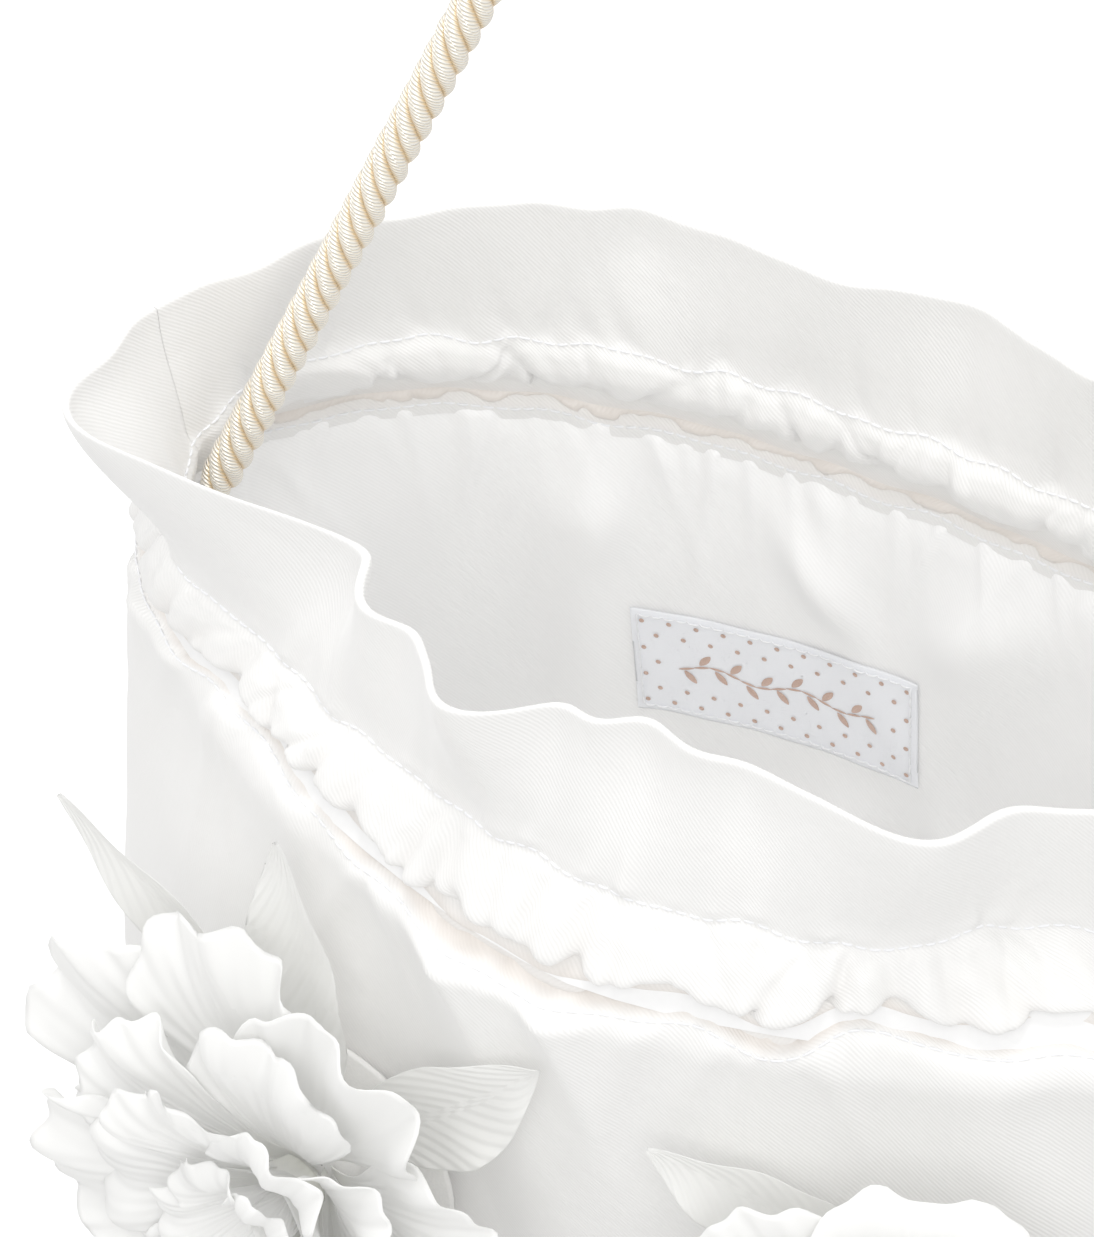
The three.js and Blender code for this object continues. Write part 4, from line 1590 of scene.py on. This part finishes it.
    def leaf_patch(self, leaf: LeafShape) -> Patch:
        """One leaf.

        Args:
            leaf: the leaf's sizes.

        Returns:
            The leaf as a patch.
        """
        u, v = grid(31, 61)
        u = 2 * u - 1
        half = leaf.width / 2 * np.sin(np.pi * np.clip(v, 0.02, 0.995) ** 0.85) ** 0.85
        turn = math.radians(leaf.turn)
        along = 10 + (leaf.length - 10) * v
        bend = 3.0 * np.sin(v * 2.4 + leaf.turn)
        across = u * half + bend
        rib = 0.5 * np.exp(-((u / 0.06) ** 2)) * (1 - v)
        out = leaf.base + leaf.rise * v**1.7 + 0.3 * half * np.abs(u) ** 1.3 + rib
        out = out + 0.5 * np.sin(6.0 * v * 3.1 + u) * np.abs(u) * smooth(0.1, 0.3, v)
        x = along * math.cos(turn) - across * math.sin(turn)
        y = along * math.sin(turn) + across * math.cos(turn)
        slant = u * 1000 * 0.5 + v * 1600
        return Patch(self.world(x, y, out), np.stack([slant, v * leaf.length], axis=2))

    def bud_patches(self) -> list[Patch]:
        """The rolled heart of the flower."""
        radius, height, base = self.bud
        patches = []
        for i in range(3):
            u, v = grid(91, 17)
            turn = 4.2 * u + 2.1 * i
            r = radius * (0.12 + 0.28 * i + 0.3 * u) * (0.75 + 0.35 * v)
            h = base + height * v * (1 - 0.12 * i) + 0.6 * np.sin(3 * turn) * v
            points = self.world(r * np.cos(turn), r * np.sin(turn), h)
            # Painted shade towards the bottom of the rolled heart.
            patches.append(Patch(points, np.stack([u * 2000, v * 100], axis=2), 0.6 * (1 - v)))
        return patches

    def felt_pad(self) -> bpy.types.Object:
        """The felt disc and stem behind the petals."""
        clock, row = np.meshgrid(np.linspace(0, 2 * np.pi, 49), np.arange(10), indexing="ij")
        radii = np.array([0.05, 0.6, 0.97, 1.0, 0.97, 0.4, 0.28, 0.24, 0.2, 0.01])
        outs = np.array([0.5, 0.5, 0.6, 1.3, 2.0, 2.2, 3.2, 6.0, 8.6, 8.9])
        r = self.pad * radii[row]
        points = self.world(r * np.cos(clock), r * np.sin(clock), outs[row])
        flat = np.stack([r * np.cos(clock), r * np.sin(clock)], axis=2)
        return sew(f"{self.name}_felt", [Patch(points, flat)], self.felt, close=True)

    def build(self) -> list[bpy.types.Object]:
        """Builds the flower.

        Returns:
            Its pieces.
        """
        felt = self.felt_pad()
        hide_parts(f"{self.name}_backing", f"{self.name}_stem")
        pieces = [felt]
        for number, ring in enumerate(self.rings):
            patches = self.petals(ring, number)
            piece = sew(f"{self.name}_ring_{number + 1}", patches, self.petal, thickness=0.25)
            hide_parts(f"{self.name}_petals_{number + 1}")
            pieces.append(piece)
        for number, leaf in enumerate(self.leaves):
            patches = [self.leaf_patch(leaf)]
            piece = sew(f"{self.name}_leaf_cloth_{number + 1}", patches, self.leaf, thickness=0.3)
            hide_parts(f"{self.name}_leaf_{number + 1}")
            pieces.append(piece)
        heart = sew(f"{self.name}_heart", self.bud_patches(), self.petal, thickness=0.25)
        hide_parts(f"{self.name}_centre")
        pieces.append(heart)
        for piece in pieces:
            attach(piece, "bag")
        return pieces


def make_peony(shape: BasketShape, finishes: Finishes) -> Flower:
    """The open ruffled flower on the left."""
    rings = [
        PetalRing(8, 53, 28, 3, 9.0, 20, 9, 20, 2.6, 2.2, 160, 0.13),
        PetalRing(7, 46, 30, 3, 10.4, 40, 18, 34, 2.4, 2.2, 140, 0.14),
        PetalRing(6, 39, 35, 3, 12.0, 58, 32, 60, 2.0, 2.0, 185, 0.16),
        PetalRing(5, 30, 42, 3, 13.4, 78, 58, 80, 1.5, 2.0, 50),
    ]
    leaves = [
        LeafShape(136.4, 86, 20, 2.6, 7.0),
        LeafShape(103.1, 76, 24, 4.0, 1.0),
        LeafShape(53.3, 75, 22, 2.6, 3.0),
    ]
    return Flower(
        name="peony",
        shape=shape,
        spot=(-46.0, 68.0),
        rings=rings,
        leaves=leaves,
        bud=(9.0, 13.0, 14.5),
        pad=26.0,
        seed=3,
        petal=finishes.petal,
        leaf=finishes.leaf,
        felt=finishes.felt,
    )


def make_rose(shape: BasketShape, finishes: Finishes) -> Flower:
    """The closer rolled flower on the right."""
    rings = [
        PetalRing(6, 47, 38, 3, 9.0, 28, 14, 50, 1.6, 1.5, 20, 0.05),
        PetalRing(5, 40, 44, 3, 10.4, 52, 30, 95, 1.2, 1.5, 0),
        PetalRing(5, 34, 46, 3, 12.0, 70, 52, 120, 1.0, 1.3, 40),
        PetalRing(4, 28, 56, 3, 13.4, 82, 72, 120, 0.8, 1.0, 10),
    ]
    leaves = [LeafShape(143, 58, 20, 2.6, 4.0), LeafShape(-29, 58, 20, 2.6, 4.0)]
    return Flower(
        name="rose",
        shape=shape,
        spot=(66.0, 84.0),
        rings=rings,
        leaves=leaves,
        bud=(9.0, 22.0, 14.5),
        pad=22.0,
        seed=7,
        petal=finishes.petal,
        leaf=finishes.leaf,
        felt=finishes.felt,
    )


# ---- assembly ------------------------------------------------------------------------------------


def dress_hidden_nodes(finishes: Finishes) -> None:
    """Gives the inner nodes that stay as they are their finishes."""
    looks = {
        "base_board": finishes.board,
        "stiffener": finishes.board,
        "casing_elastic": finishes.elastic,
        "handle_wire": finishes.wire,
        "anchor_tack": finishes.thread,
    }
    for name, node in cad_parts.items():
        for start, finish in looks.items():
            if name.startswith(start):
                node.data.materials.clear()
                node.data.materials.append(finish)


def main() -> None:
    """Builds the basket piece by piece."""
    logging.basicConfig(level=logging.INFO, format="%(message)s")
    studio = Studio()
    studio.place_camera()
    finishes = Finishes()
    studio.lay_floor(finishes.floor)
    studio.light()
    dress_hidden_nodes(finishes)
    shape = BasketShape()
    cloth = OuterCloth(shape, finishes.satin)
    lining = Lining(shape, finishes.lining)
    stitching = Stitching(finishes.thread)
    pieces = cloth.build()
    pieces += lining.build()
    pieces += OvalBase(shape, finishes.satin, finishes.lining).build()
    pieces.append(SeamRows(shape, cloth, stitching).build())
    pieces += Label(lining, finishes.label, finishes.metal_thread, stitching).build()
    pieces += RopeHandle(finishes.rope).build()
    pieces += make_peony(shape, finishes).build()
    pieces += make_rose(shape, finishes).build()
    for piece in pieces:
        LOG.info("%s: %d faces", piece.name, len(piece.data.polygons))


if __name__ == "__main__":
    main()
